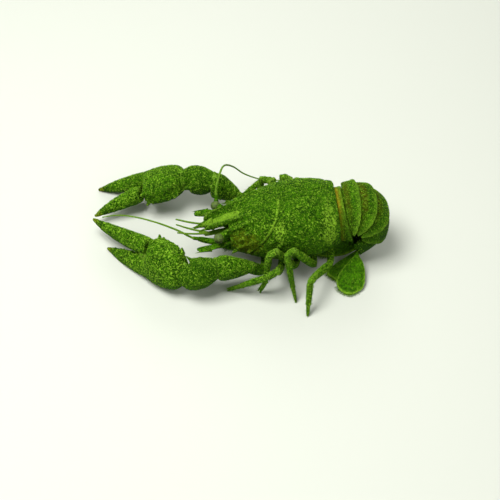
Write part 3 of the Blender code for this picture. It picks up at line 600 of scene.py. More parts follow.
def hairs(name, roots, ways, lengths, width, spots, finish, droop=0.0, rows=1, crumbs=None):
    """Solid three-sided hairs as one piece, each with a patch of its own on the map OFBake."""
    count = len(roots)
    width = np.broadcast_to(width, count)[:, None]
    aside = unit(np.cross(ways, (0.31, 0.55, 0.78)))
    other = np.cross(ways, aside)
    turns = [math.tau * k / 3 for k in range(3)]
    bend = np.array((0, 0, -droop)) * lengths[:, None]
    points = []
    for row in range(rows):
        part = row / rows
        middle = roots + ways * (lengths * part)[:, None] + bend * part ** 2
        for turn in turns:
            swing = aside * math.cos(turn) + other * math.sin(turn)
            points.append(middle + swing * width * (1 - 0.5 * part))
    points.append(roots + ways * lengths[:, None] + bend)
    size = 3 * rows + 1
    faces = [(2, 1, 0)]
    for low in range(0, size - 4, 3):
        for k in range(3):
            j = (k + 1) % 3
            faces += [(low + k, low + j, low + 3 + j), (low + k, low + 3 + j, low + 3 + k)]
    faces += [(size - 4 + k, size - 4 + (k + 1) % 3, size - 1) for k in range(3)]
    places = (np.stack(points, axis=1).reshape(-1, 3) * MM).tolist()
    every = np.array(faces)[None] + size * np.arange(count)[:, None, None]
    mesh = bpy.data.meshes.new(name)
    mesh.from_pydata(places, [], every.reshape(-1, 3).tolist())
    patch = [(math.cos(turn) * PATCH, math.sin(turn) * PATCH) for turn in turns] * rows + [(0, 0)]
    laid = spots[:, None, None] + np.array(patch)[np.array(faces)][None]
    mesh.uv_layers.new(name="OFBake").data.foreach_set("uv", laid.astype(np.float32).ravel())
    made = linked(name, mesh)
    if crumbs is not None:
        mark(made, "crumb", np.repeat(crumbs, size))
    settle(made, finish, [])


def felt(made, finish, count, seed, middle, along, tall=0.26):
    """Short weed and crumbs of silt over a piece, thickest where it faces up."""
    draw = np.random.default_rng(seed)
    roots, ways = rooted_on(made, count, draw)
    keep = ways[:, 2] + draw.normal(0, 0.35, count) > -0.1
    roots, ways = roots[keep], ways[keep]
    count = len(roots)
    crumbs = draw.random(count) < CRUMB_SHARE
    lying = unit(ways + draw.normal(0, 0.45, ways.shape) * np.where(crumbs, 0.3, 1.0)[:, None])
    sizes = np.where(crumbs, draw.uniform(0.14, 0.24, count), tall * draw.uniform(0.5, 1.3, count))
    widths = np.where(crumbs, draw.uniform(0.10, 0.19, count), 0.055)
    spots = unwrapped(roots, middle, along)
    roots = roots - ways * 0.05
    hairs(f"{made.name}_weed", roots, lying, sizes, widths, spots, finish, crumbs=crumbs)


def bristles(made, count, toward, lengths, finish, seed, under=1.0):
    """Sparse stiff hairs that lean one way, left off where the piece faces up more than under."""
    draw = np.random.default_rng(seed)
    roots, ways = rooted_on(made, count, draw)
    low = ways[:, 2] < under
    roots, ways = roots[low], ways[low]
    lying = unit(ways * 0.6 + np.array(toward) + draw.normal(0, 0.2, ways.shape))
    sizes = draw.uniform(*lengths, len(roots))
    spots = unwrapped(roots, roots.mean(axis=0), toward)
    hairs(f"{made.name}_bristles", roots, lying, sizes, 0.035, spots, finish, droop=0.1, rows=2)


class Wire:
    """The output of a shader node, which can stand in a sum."""

    def __init__(self, finish, socket):
        self.finish = finish
        self.socket = socket

    def sum(self, operation, first, second=0.0):
        return self.finish.node("Math", {"operation": operation}, {0: first, 1: second})

    def __add__(self, other):
        return self.sum("ADD", self, other)

    def __radd__(self, other):
        return self.sum("ADD", other, self)

    def __sub__(self, other):
        return self.sum("SUBTRACT", self, other)

    def __rsub__(self, other):
        return self.sum("SUBTRACT", other, self)

    def __mul__(self, other):
        return self.sum("MULTIPLY", self, other)

    def __rmul__(self, other):
        return self.sum("MULTIPLY", other, self)

    def __truediv__(self, other):
        return self.sum("DIVIDE", self, other)

    def __abs__(self):
        return self.sum("ABSOLUTE", self)


class Finish:
    """A material whose nodes are written as sums."""

    def __init__(self, name):
        self.material = bpy.data.materials.new(name)
        self.material.use_nodes = True
        self.tree = self.material.node_tree
        self.shader = self.tree.nodes["Principled BSDF"]

    def feed(self, socket, value):
        if isinstance(value, Wire):
            self.tree.links.new(value.socket, socket)
        elif socket.type == "RGBA":
            socket.default_value = (*value[:3], 1)
        else:
            socket.default_value = value

    def node(self, kind, settings, sockets, output=0):
        """Any node: its settings are set first, then its sockets are fed or linked."""
        made = self.tree.nodes.new("ShaderNode" + kind)
        for key, value in settings.items():
            setattr(made, key, value)
        for key, value in sockets.items():
            self.feed(made.inputs[key], value)
        return Wire(self, made.outputs[output])

    def places(self, centre=(0, 0, 0), turn=(0, 0, 0)):
        """Object coordinates in millimetres, from a centre and turned."""
        here = self.node("TexCoord", {}, {}, "Object")
        where = {"Vector": here, "Location": centre, "Rotation": turn, "Scale": (MM, MM, MM)}
        return self.node("Mapping", {"vector_type": "TEXTURE"}, where)

    def parts(self, vector):
        """The three numbers of a vector."""
        return [self.node("SeparateXYZ", {}, {0: vector}, axis) for axis in range(3)]

    def noise(self, vector, size, detail, rough, twist=0.0):
        """Cloudy noise between about 0.3 and 0.7, with blotches of a size in millimetres."""
        sockets = {"Vector": vector, "Scale": 1 / size, "Detail": detail, "Roughness": rough,
                   "Distortion": twist}
        return self.node("TexNoise", {}, sockets)

    def cloud(self, vector, name):
        """One of the clouds, from 0 to 1."""
        *form, low, high = CLOUDS[name]
        return self.rise(self.noise(vector, *form), low, high)

    def cells(self, vector, size, spread):
        """Distance to the nearest of scattered points a size apart."""
        sockets = {"Vector": vector, "Scale": 1 / size, "Randomness": spread}
        return self.node("TexVoronoi", {}, sockets, "Distance")

    def facing_up(self, low, high):
        """0 where the surface faces down and 1 where it faces up."""
        return self.rise(self.parts(self.node("NewGeometry", {}, {}, "Normal"))[2], low, high)

    def rise(self, value, low, high):
        """0 below low, 1 above high and smooth between."""
        sockets = {"Value": value, "From Min": low, "From Max": high}
        return self.node("MapRange", {"interpolation_type": "SMOOTHSTEP"}, sockets)

    def band(self, value, low, high, soft):
        """1 between low and high, with soft edges."""
        return self.rise(value, low - soft, low + soft) * (1 - self.rise(value, high - soft, high + soft))

    def mix(self, share, first, second):
        return self.node("Mix", {"data_type": "RGBA"}, {0: share, 6: first, 7: second}, 2)

    def spot(self, first, second, patch, ragged, soft=0.45):
        """1 inside an oval patch and 0 outside, with a ragged edge."""
        (x, y), (wide, tall) = patch
        x = (first - x) / wide
        y = (second - y) / tall
        return 1 - self.rise(x * x + y * y + ragged, 1 - soft, 1 + soft)

    def marked(self, name):
        """A number that the mesh keeps for each point."""
        return self.node("Attribute", {"attribute_name": name}, {}, "Fac")

    def paint(self, colour, rough, height, depth=0.12, gloss=0.03):
        """Feeds the shader: colour, roughness, and the bump's height over a depth in millimetres."""
        self.feed(self.shader.inputs["Base Color"], colour)
        self.feed(self.shader.inputs["Roughness"], rough)
        self.feed(self.shader.inputs["Specular IOR Level"], gloss)
        sockets = {"Strength": 1.0, "Distance": depth * MM, "Height": height}
        self.feed(self.shader.inputs["Normal"], self.node("Bump", {}, sockets))
        return self.material


def weathered(finish, mm, colours, base, light, silt=1.0, pale=0.5, speck=0.8, heap=0.0):
    """The shell's colour with blotches, pits and settled silt, a painted highlight on rims and painted shade
    in nooks; also its roughness and bump.
    """
    fine = finish.cloud(mm, "fine")
    colour = finish.mix(finish.cloud(mm, "blotches") * 0.35 + fine * 0.65, base, light)
    bend = finish.node("NewGeometry", {}, {}, "Pointiness")
    # Painted highlight: rims and knob tops, found by their bend, are lightened towards the pale colour by the
    # share pale.
    colour = finish.mix(finish.rise(bend, *RIM_HIGHLIGHT_BEND) * pale, colour, colours.pale)
    # Painted shade: nooks and hollows, found by their bend, are darkened towards the dark colour.
    colour = finish.mix((1 - finish.rise(bend, *NOOK_SHADE_BEND)) * 0.8, colour, colours.dark)
    grit = finish.rise(finish.noise(mm, 0.55, 2.0, 0.7) + heap * 0.07, 0.53, 0.60)
    crumbs = finish.cloud(mm, "crumbs")
    pits = 1 - finish.cloud(mm, "pits")
    colour = finish.mix(pits * speck * 0.8, colour, [value * 0.5 for value in colours.dark])
    drift = finish.cloud(mm, "drift") * 0.7 + 0.5
    upward = finish.facing_up(-0.35, 0.8) * 0.7 + 0.3
    settled = grit * (0.45 + crumbs * 0.8) * drift * upward * silt + grit * heap * 0.6
    colour = finish.mix(finish.rise(settled, 0.05, 0.8) * speck, colour, colours.silt)
    height = fine * 0.5 + grit * 0.8 + crumbs * 0.5 - pits * 0.6
    rough = 0.55 + 0.25 * settled + 0.12 * fine
    return colour, rough, height


def shield_finish(colours):
    """Olive, with a brown mark on each cheek, and silt in the beak's trough, the groove and the rear."""
    finish = Finish("shell, shield")
    mm = finish.places(tuple(REAR_EDGE * MM), (0, -HEAD_DOWN, 0))
    back, across, high = finish.parts(mm)
    forward = back * -1
    side = abs(across)
    wide = (finish.noise(mm, 2.2, 4.0, 0.7) - 0.5) * 5.0
    ragged = (finish.noise(mm, 0.8, 3.0, 0.7) - 0.5) * 3.0 + wide
    near = 1 - finish.rise(across, -3.0, 1.0) * 0.75
    trough = finish.spot(forward, across, TROUGH, ragged * 0.3, 0.25)
    rear = finish.spot(forward, high, REAR_PATCH, ragged, 0.3) * near
    neck = finish.spot(forward, side, NECK_PATCH, ragged * 0.7, 0.2) * near
    groove = abs(forward + high * GROOVE_SLOPE - GROOVE_SILT)
    strip = (1 - finish.rise(groove + ragged * 0.12, 0.25, 0.65)) * finish.rise(high, 7.0, 9.0)
    heap = finish.rise(trough + rear * 0.75 + neck + strip * near, 0.1, 0.9)
    speck = 0.6 + finish.rise(side, 2.0, 9.0) * 0.35
    colour, rough, height = weathered(
        finish, mm, colours, colours.dark, colours.olive, speck=speck, heap=heap,
    )
    cheek = finish.spot(forward, high, CHEEK, ragged) * finish.rise(side, 4.6, 6.2)
    brown = [0.45 * (a + b) for a, b in zip(colours.orange, colours.olive)]
    colour = finish.mix(cheek * (finish.cloud(mm, "cheek") * 0.6 + 0.25), colour, brown)
    crumbs = finish.cloud(mm, "heap")
    full = finish.rise(trough, 0.2, 0.9) + strip * near * 0.35
    colour = finish.mix(heap * (crumbs * 0.4 + full * 0.35), colour, colours.silt)
    return finish.paint(colour, rough + heap * 0.1, height + heap * crumbs * 1.2, 0.16)


def abdomen_finish(colours):
    """Rust bands with olive between, an orange front edge, a light rim behind each ring, and painted shade
    low on the curl.
    """
    finish = Finish("shell, abdomen")
    mm = finish.places(tuple(CURL * MM))
    along, across, high = finish.parts(mm)
    colour, rough, height = weathered(
        finish, mm, colours, colours.dark, colours.olive, silt=0.8, speck=0.65,
    )
    turn = finish.node("Math", {"operation": "ARCTAN2"}, {0: high, 1: along}) * (180 / math.pi)
    wander = finish.noise(mm, 1.6, 4.0, 0.7) - 0.5
    around = turn + wander * 16
    top = 1 - finish.rise(abs(across) + wander * 6, 3.0, 7.5) * 0.75
    patches = finish.cloud(mm, "patches")
    bands = sum(finish.band(around, first, last, soft) * share for first, last, soft, share in BANDS)
    colour = finish.mix(bands * top * (patches * 0.5 + 0.35), colour, colours.rust)
    # Painted shade: the lower part of the curl is darkened towards the dark colour, as if shadowed by the
    # body above it.
    under = (1 - finish.rise(high + wander * 4, -4.5, 4.5)) * 0.85
    colour = finish.mix(under, colour, colours.dark)
    lit = [2.2 * value for value in colours.orange]
    colour = finish.mix(finish.marked("front") * top * (patches * 0.4 + 0.6), colour, lit)
    colour = finish.mix(finish.marked("rear") * (patches * 0.5 + 0.4), colour, colours.silt)
    return finish.paint(colour, rough, height, 0.16)


# pale sets how strong the painted highlight on rims is.
def limb_finish(name, colours, light=1.0, silt=1.0, pale=0.7, marks=(), speck=0.8, shade=1.0):
    """Olive limbs; marks are (what the mesh keeps, strength, colour)."""
    finish = Finish(name)
    mm = finish.places()
    olive = tuple(value * light for value in colours.olive)
    dark = tuple(value * shade for value in colours.dark)
    dust = finish.marked("dust")
    colour, rough, height = weathered(finish, mm, colours, dark, olive, silt, pale, speck, dust)
    mottle = finish.cloud(mm, "mottle") * 0.5 + 0.5
    for kept, strength, tint in marks:
        colour = finish.mix(finish.marked(kept) * mottle * strength, colour, tint)
    return finish.paint(colour, rough, height, 0.14)


def plain_finish(name, base, light, cloud="fine skin", rings=0.0):
    """Two shades in blotches, with rings along a feeler if asked for."""
    finish = Finish(name)
    mm = finish.places()
    share = finish.cloud(mm, cloud)
    height = share
    if rings:
        wave = finish.node("Math", {"operation": "SINE"}, {0: finish.marked("along") * (math.tau / rings)})
        height = finish.rise(wave, -0.6, 0.3)
        share = share * 0.5 + height * 0.5
    colour = finish.mix(share, base, light)
    return finish.paint(colour, 0.5 + 0.15 * share, height, 0.05)


def weed_finish(name, colours):
    """Short weed in two shades, with pale crumbs of silt in it."""
    finish = Finish(name)
    share = finish.cloud(finish.places(), "weed")
    light = [0.5 * (a + b) for a, b in zip(colours.olive, colours.silt)]
    colour = finish.mix(share, colours.olive, light)
    colour = finish.mix(finish.marked("crumb") * (share * 0.4 + 0.6), colour, colours.silt)
    return finish.paint(colour, 0.7 + 0.15 * share, share, 0.03)


def eye_finish(colours):
    """A dull dark eye, with fine facets and silt lying on its top."""
    finish = Finish("eye")
    mm = finish.places()
    upward = finish.facing_up(-0.2, 0.9)
    bloom = finish.rise(finish.noise(mm, 0.45, 3.0, 0.7) + upward * 0.14, 0.48, 0.68)
    colour = finish.mix(bloom * 0.7, colours.eye, [0.6 * value for value in colours.pale])
    return finish.paint(colour, 0.32 + bloom * 0.4, finish.cells(mm, 0.14, 0.35), 0.01, 0.35)


class CRAYFISH_OT_shield(bpy.types.Operator):
    """Make the shield of head and thorax, with beak, ridges, spines and furrows"""

    bl_idname = "crayfish.shield"
    bl_label = "Shield"

    def execute(self, context):
        sizes = context.scene.crayfish_shell
        colours = context.scene.crayfish_colours
        finish = shield_finish(colours)
        nodes = ["head_shield", "thorax_shield"]
        made, spines = shell("carapace", nodes, sizes.cell, self.long_spines(), crease=0.9, more=0.12)
        raise_surface(made, lambda points: self.furrows(points, sizes.furrow / MM))
        raise_surface(made, self.beak_relief)
        roughen(made, sizes.grain, knobs=1.0, grit=0.7, swells=1.5)
        settle(made, finish, nodes, spines)
        weed = weed_finish("weed, shield", colours)
        felt(made, weed, WEED["shield"], SEEDS["shield"], REAR_EDGE + UP * 10, (-1, 0, 0))
        return {"FINISHED"}

    def long_spines(self):
        """The spine in which the ridge behind each eye ends, and the points of the beak."""
        head = tree_of("head_shield")
        down = on_shield(0, 0, -1) - on_shield(0, 0, 0)
        for side in (LEFT, RIGHT):
            above = on_shield(30.0, side * 4.9, 25.0) * MM
            ground = head.ray_cast(above, down)[0]
            tip = ground + (on_shield(3.0, side * 0.3, 0.1) - on_shield(0, 0, 0)) * MM
            yield aim(ground - UP * 0.1 * MM, tip, 0.5 * MM)
            yield self.beak_point(side, *BEAK_SIDE)
        yield self.beak_point(RIGHT, *BEAK_END)

    def beak_point(self, side, root, tip, radius):
        ends = [on_shield(forward, side * across, high) * MM for forward, across, high in (root, tip)]
        return aim(*ends, radius * MM)

    def furrows(self, points, furrow):
        """Two furrows along the back behind the neck groove, the groove, and a bead at the rear edge."""
        forward, across, high = in_shield(points)
        top = step_up(high, 15.0, 18.0)
        spread = 1.1 + 1.6 * (np.clip((forward - 8.5) / 7.0, -1.2, 1.0)) ** 2
        lines = hill(np.abs(across) - spread, 0.35) * step_up(forward, 2.2, 3.4)
        lines *= top * (1 - step_up(forward, 14.5, 16.0))
        rim = hill(forward - 1.9, 0.45) * step_up(high, 3.0, 6.0)
        crossing = forward - GROOVE_TOP[0] + GROOVE_SLOPE * (high - GROOVE_TOP[1])
        groove = hill(crossing, 0.55) * step_up(high, 6.0, 8.0)
        return -furrow * (lines + 0.8 * rim + 1.3 * groove)

    def beak_relief(self, points):
        """The beak's raised rims with the trough between, and the ridges behind the eyes."""
        forward, across, high = in_shield(points)
        side = np.abs(across)
        places, halves, tops = zip(*BEAK)
        half = np.interp(forward, places, halves)
        upper = step_up(high - np.interp(forward, places, tops), -1.1, -0.5)
        run = step_up(forward, 24.0, 27.0) * (1 - step_up(forward, 37.4, 38.4)) * upper
        rims = hill(side - half * 0.84, 0.34) * run
        trough = (1 - step_up(side, half * 0.35, half * 0.72)) * run
        places, middles = zip(*EYE_RIDGE)
        away = side - np.interp(forward, places, middles)
        length = step_up(forward, 20.5, 23.5) * (1 - step_up(forward, 30.6, 31.4)) * step_up(high, 11.0, 13.0)
        ridges = (hill(away, 0.42) - 0.5 * hill(np.abs(away) - 1.1, 0.4)) * length
        return 0.42 * rims - 0.4 * trough + 0.34 * ridges


class CRAYFISH_OT_abdomen(bpy.types.Operator):
    """Make the rings of the abdomen"""

    bl_idname = "crayfish.abdomen"
    bl_label = "Abdomen"

    def execute(self, context):
        sizes = context.scene.crayfish_shell
        colours = context.scene.crayfish_colours
        finish = abdomen_finish(colours)
        weed = weed_finish("weed, abdomen", colours)
        for number in range(1, 7):
            node = f"abdomen_{number}"
            made, spines = shell(f"tail_ring_{number}", [node], sizes.cell)
            roughen(made, sizes.grain, knobs=0.8, grit=0.5)
            before = "thorax_shield" if number == 1 else f"abdomen_{number - 1}"
            mark(made, "front", edge_of(made, before, 3.0) * (number == 1))
            after = "telson" if number == 6 else f"abdomen_{number + 1}"
            # The rear rim of each ring is lightened with the silt colour, more weakly on the first ring.
            rear_rim_share = 0.3 if number == 1 else 1.0
            mark(made, "rear", edge_of(made, after, 2.5) * rear_rim_share)
            settle(made, finish, [node], spines)
            felt(made, weed, WEED["ring"], SEEDS["ring"] + number, CURL, (0, 1, 0))
        self.lining(colours)
        return {"FINISHED"}

    def lining(self, colours):
        """The skin under the rings, which shows between them."""
        bm = bmesh.new()
        rows = []
        for degrees in LINING_CUTS:
            out = round_curl(degrees)
            radius = 1 / math.hypot(out.x / CURL_RADII[0], out.z / CURL_RADII[1]) - LINING_DEPTH
            rows.append([bm.verts.new((CURL + offset) * MM) for offset in self.arch(out, radius)])
        for row, ahead in zip(rows, rows[1:]):
            for a, b, c, d in zip(row, row[1:] + row[:1], ahead[1:] + ahead[:1], ahead):
                bm.faces.new((a, b, c, d))
        bm.faces.new(reversed(rows[0]))
        bm.faces.new(rows[-1])
        bmesh.ops.recalc_face_normals(bm, faces=bm.faces)
        made = finished("tail_lining", bm)
        modify(made, "SUBSURF", levels=1, render_levels=1)
        skin = plain_finish("joint skin, abdomen", colours.dark, colours.olive, "skin")
        settle(made, skin, [])

    def arch(self, out, radius, steps=12):
        """Places round a cut through the lining, outer side first and then back inside."""
        half = CURL_HALF - 0.9
        outer = (radius, half, LINING_FEET[0])
        inner = (radius - LINING_THICKNESS, half - 0.5, LINING_FEET[1])
        turns = [math.pi * (k / steps - 0.5) for k in range(steps + 1)]
        for (reach, width, foot), order in ((outer, turns), (inner, turns[::-1])):
            for turn in order:
                rise = foot + (reach - foot) * math.cos(turn) ** 0.8
                yield out * rise + Vector((0, width * math.sin(turn), 0))


class CRAYFISH_OT_tail_fan(bpy.types.Operator):
    """Make the plates of the tail fan"""

    bl_idname = "crayfish.tail_fan"
    bl_label = "Tail fan"

    def execute(self, context):
        sizes = context.scene.crayfish_shell
        colours = context.scene.crayfish_colours
        finish = limb_finish(
            "shell, tail fan", colours, light=1.3, silt=0.9, pale=0.9,
            marks=(("rim", 0.7, colours.silt),), speck=0.45, shade=1.8,
        )
        bristle = plain_finish("bristles, tail fan", colours.olive, colours.pale)
        for node in ("telson", *(f"uropod_{row}_{side}" for row in ("inner", "outer") for side in SIDES)):
            made, spines = shell(f"{node}_plate", [node], CELLS["plate"] * MM, smoothing=1)
            raise_surface(made, lambda points, node=node: self.ribs(points, node))
            roughen(made, sizes.grain, grit=0.4)
            mark(made, "rim", self.outline(place_of(made.data), node))
            settle(made, finish, [node], spines)
            self.fringe(node, bristle)
        return {"FINISHED"}

    def fringe(self, node, finish):
        """Two rows of stiff hairs round the rear edge of a plate."""
        root, along, aside, length, half = self.frame_of(node)
        solid = tree_of(node)
        draw = np.random.default_rng(len(node))
        roots, ways = [], []
        pivot = root + along * (length - half * 1.05)
        for k in range(FRINGE_STEPS):
            turn = math.radians(-FRINGE_REACH + 2 * FRINGE_REACH * k / (FRINGE_STEPS - 1))
            way = along * math.cos(turn) + aside * math.sin(turn)
            for level in (0.35, 0.5):
                hit = solid.ray_cast((pivot + way * half * 2.2 + UP * level) * MM, -way)[0]
                if hit is not None:
                    roots.append(np.array(hit) / MM - np.array(way) * 0.15)
                    ways.append(np.array(way) + draw.normal(0, 0.09, 3))
        if not roots:
            raise RuntimeError(f"{node} has no edge for its fringe")
        roots, ways = np.array(roots), unit(np.array(ways))
        sizes = draw.uniform(0.9, 1.5, len(roots))
        local = roots - np.array(root)
        spots = np.stack([local @ np.array(along) / 40, local @ np.array(aside) / 40], axis=1) + 0.5
        hairs(f"{node}_fringe", roots, ways, sizes, 0.05, spots, finish, droop=0.12, rows=2)

    def frame_of(self, node):
        """Root, way along, way across, length and half width of a plate, seen from above."""
        kind = node.removesuffix("_left").removesuffix("_right")
        sign = LEFT if node.endswith("left") else RIGHT
        (x, y), (end_x, end_y), half = PLATES[kind]
        root = Vector((x, MIDLINE + sign * y, 0))
        reach = Vector((end_x, MIDLINE + sign * end_y, 0)) - root
        along = reach / reach.length
        return root, along, Vector((-along.y, along.x, 0)), reach.length, half

    def outline(self, points, node, sectors=90):
        """1 along a plate's outline and 0 inside it, seen from above."""
        along, aside = self.frame_of(node)[1:3]
        local = points - points.mean(axis=0)
        first, second = local @ np.array(along), local @ np.array(aside)
        reach = np.hypot(first, second)
        sector = ((np.arctan2(second, first) / math.tau + 0.5) * sectors).astype(int) % sectors
        widest = np.zeros(sectors)
        np.maximum.at(widest, sector, reach)
        return step_up(reach / widest[sector], 0.88, 0.96)

    def ribs(self, points, node):
        """A keel and its side ribs, fine rays towards the rear edge, and the cross seam."""
        root, along, aside, length, half = self.frame_of(node)
        local = points - np.array(root)
        far = local @ np.array(along) / length
        side = local @ np.array(aside) / half
        keels = hill(side, 0.09) + 0.5 * hill(np.abs(side) - 0.45, 0.08)
        rays = 0.5 + 0.5 * np.cos(side * half * 9.0)
        height = 0.2 * keels * (1 - step_up(far, 0.7, 0.95)) * step_up(far, 0.05, 0.3)
        height += 0.08 * rays * step_up(far, 0.72, 0.82)
        if "outer" in node or node == "telson":
            height -= 0.22 * hill(far - 0.64 - 0.05 * np.cos(side * 3), 0.03)
        return height


class CRAYFISH_OT_claws(bpy.types.Operator):
    """Make both claws: hip, arm, wrist, palm and free finger"""

    bl_idname = "crayfish.claws"
    bl_label = "Claws"

    def execute(self, context):
        sizes = context.scene.crayfish_shell
        colours = context.scene.crayfish_colours
        weed = weed_finish("weed, claws", colours)
        # band is the real dark band behind the finger tips, and on the wrist it is painted shade.
        marks = (("band", 0.7, colours.dark), ("tip", 0.5, colours.orange))
        finish = limb_finish("shell, claws", colours, light=1.1, marks=marks, speck=0.95)
        skin = plain_finish("joint skin, claws", colours.olive, colours.pale)
        for side in SIDES:
            wrist, tip, free_tip = [Vector(spot) for spot in CLAWS[side]]
            for part in CLAW_PARTS:
                node = f"claw_{part}_{side}"
                knobs = list(self.teeth(node, part, wrist, tip, free_tip))
                made, spines = shell(f"{node}_shell", [node], sizes.claw_cell, knobs=knobs)
                roughen(made, sizes.grain, knobs=1.2, grit=0.6)
                self.shade(made, part, tip, free_tip)
                settle(made, finish, [node], spines)
                seed = SEEDS["claw"] + len(part)
                felt(made, weed, WEED[part], seed, wrist, tip - wrist)
            for first, second in zip(CLAW_PARTS, CLAW_PARTS[1:]):
                hinge = second == "finger"
                joint_skin(
                    f"claw_joint_{second}_{side}", f"claw_{first}_{side}", f"claw_{second}_{side}",
                    skin, half=1.6 if hinge else 0.9, fill=1.1 if hinge else 0.9,
                    knobs=0.0 if second == "arm" else 0.75,
                )
        return {"FINISHED"}

    def teeth(self, node, part, wrist, tip, free_tip):
        """Blunt teeth along the facing edges of the two fingers, larger near their roots."""
        if part not in ("palm", "finger"):
            return
        along = (tip - wrist).normalized()
        reach = free_tip - wrist
        inner = (reach - along * reach.dot(along)).normalized()
        start = wrist + along * HINGE[0]
        if part == "finger":
            start, end, way = start + inner * HINGE[1], free_tip, -inner
        else:
            start, end, way = start - inner * 0.9, tip, inner
        solid = tree_of(node)
        for k in range(1, TOOTH_STEPS):
            spot = start.lerp(end, k / TOOTH_STEPS) * MM
            hit = solid.ray_cast(spot + way * 8 * MM, -way)[0]
            if hit is not None:
                yield knob_at(hit, (0.62 - 0.4 * k / TOOTH_STEPS) * (1.15 if k % 3 == 0 else 0.85) * MM)

    def shade(self, made, part, tip, free_tip):
        """Marks the fingers' tips, the dark band behind them, the painted shade on the wrist and the near
        palm's silt.
        """
        points = place_of(made.data)
        end = {"palm": tip, "finger": free_tip}.get(part)
        far = np.full(len(points), 99.0) if end is None else reach_of(points, end)
        near_palm = part == "palm" and tip.y < 10
        mark(made, "tip", 1 - step_up(far, 1.4, 2.6))
        # Painted shade: the whole wrist takes part of the band's dark colour, as if in shadow.
        mark(made, "band", step_up(far, 1.8, 2.8) * (1 - step_up(far, 3.6, 5.2)) + 0.6 * (part == "wrist"))
        mark(made, "dust", 0.22 * step_up(far, 6.0, 12.0) * near_palm)


class CRAYFISH_OT_legs(bpy.types.Operator):
    """Make the walking legs"""

    bl_idname = "crayfish.legs"
    bl_label = "Legs"

    def execute(self, context):
        sizes = context.scene.crayfish_shell
        colours = context.scene.crayfish_colours
        weed = weed_finish("weed, legs", colours)
        bristle = plain_finish("bristles, legs", colours.olive, colours.pale)
        finish = limb_finish(
            "shell, legs", colours, light=1.2, silt=1.2, pale=0.9,
            marks=(("joint", 0.25, colours.pale),), speck=0.95,
        )
        skin = plain_finish("joint skin, legs", colours.olive, colours.pale)
        for side in SIDES:
            for number in LEG_NUMBERS:
                joints = self.joints(number, side)
                leg = joints[-1] - joints[0]
                foot = joints[-1] - joints[-2]
                for part in ("upper", "lower"):
                    node = f"leg_{number}_{side}_{part}"
                    made, spines = shell(f"{node}_shell", [node], sizes.leg_cell, smoothing=1)
                    mark(made, "joint", self.near_joint(place_of(made.data), joints))
                    raise_surface(made, lambda points: self.pinch(points, joints))
                    roughen(made, sizes.grain, grit=0.6, knobs=0.6)
                    settle(made, finish, [node], spines)
                    seed = SEEDS["leg"] + number
                    felt(made, weed, WEED["leg"], seed, joints[0], leg, tall=0.2)
                toe = foot / np.linalg.norm(foot) * 0.8
                bristles(made, BRISTLES["toe"], toe, (0.4, 0.9), bristle, SEEDS["toe"] + number)
                joint_skin(
                    f"leg_joint_{number}_{side}", f"leg_{number}_{side}_upper",
                    f"leg_{number}_{side}_lower", skin, half=0.5,
                )
        return {"FINISHED"}

    def joints(self, number, side):
        """Knee, shin, ankle and toe of a leg, out in the world."""
        ahead, aside = RIGHT_STEP[number] if side == "right" else (0, 0)
        sign = SIDE_SIGNS[side]
        return [np.array((x + ahead, MIDLINE + sign * y + aside, z)) for x, y, z in LEG_JOINTS[number]]

    def near_joint(self, points, joints):
        """1 at knee, shin and ankle, and 0 between them."""
        return np.maximum.reduce([hill(reach_of(points, joint), 1.5) for joint in joints[:3]])

    def pinch(self, points, joints):
        """A narrow seam with a swollen rim before it, at knee, shin and ankle."""
        height = np.zeros(len(points))
        for joint, after in zip(joints, joints[1:]):
            way = (after - joint) / np.linalg.norm(after - joint)
            along = (points - joint) @ way
            near = hill(reach_of(points, joint), 2.2)
            height += near * (0.14 * hill(along + 0.5, 0.4) - 0.24 * hill(along, 0.2))
        return height


class CRAYFISH_OT_head(bpy.types.Operator):
    """Make the eyes on their stalks, the feelers, their bases and scales"""

    bl_idname = "crayfish.head"
    bl_label = "Eyes and feelers"

    def execute(self, context):
        sizes = context.scene.crayfish_shell
        colours = context.scene.crayfish_colours
        eyes = eye_finish(colours)
        stalks = limb_finish("shell, head limbs", colours, light=1.4, silt=0.7, pale=0.9)
        whips = plain_finish("feelers", colours.olive, colours.pale, "skin", FEELER_RING)
        for side in SIDES:
            for node in (f"eyestalk_{side}", f"antenna_base_{side}", f"antenna_scale_{side}"):
                made, spines = shell(f"{node}_shell", [node], sizes.leg_cell, smoothing=1)
                roughen(made, sizes.grain, grit=0.4)
                settle(made, stalks, [node], spines)
            node = f"antennule_{side}"
            made, _ = shell(f"{node}_shell", [node], CELLS["small feeler"] * MM, smoothing=1)
            self.ringed(made, on_shield(31, SIDE_SIGNS[side] * 1.4, 11.4), 0.045, 0.04)
            settle(made, whips, [node])
            node = f"eye_{side}"
            bpy.ops.mesh.primitive_uv_sphere_add(
                segments=48, ring_count=32, radius=EYE_RADIUS * MM, location=middle_of(node)
            )
            made = newest(f"{node}_ball")
            bpy.ops.object.transform_apply(location=True, rotation=True, scale=True)
            settle(made, eyes, [node])
            node = f"antenna_flagellum_{side}"
            base = f"antenna_base_{side}"
            made, _ = solid_copy(f"{node}_whip", [node])
            modify(made, "SUBSURF", levels=3, render_levels=3)
            self.ringed(made, middle_of(base) / MM, 0.045, 0.1)
            settle(made, whips, [node])
            joint_skin(f"feeler_root_{side}", base, node, stalks, half=1.1, fill=1.0)
        return {"FINISHED"}

    def ringed(self, made, start, depth, thin):
        """Marks how far each point is from a feeler's root, pinches it into rings and thins it."""
        along = reach_of(place_of(made.data), start)
        mark(made, "along", along)
        rings = depth * 0.5 * np.sin(along * math.tau / FEELER_RING) - thin
        raise_surface(made, lambda points: rings)


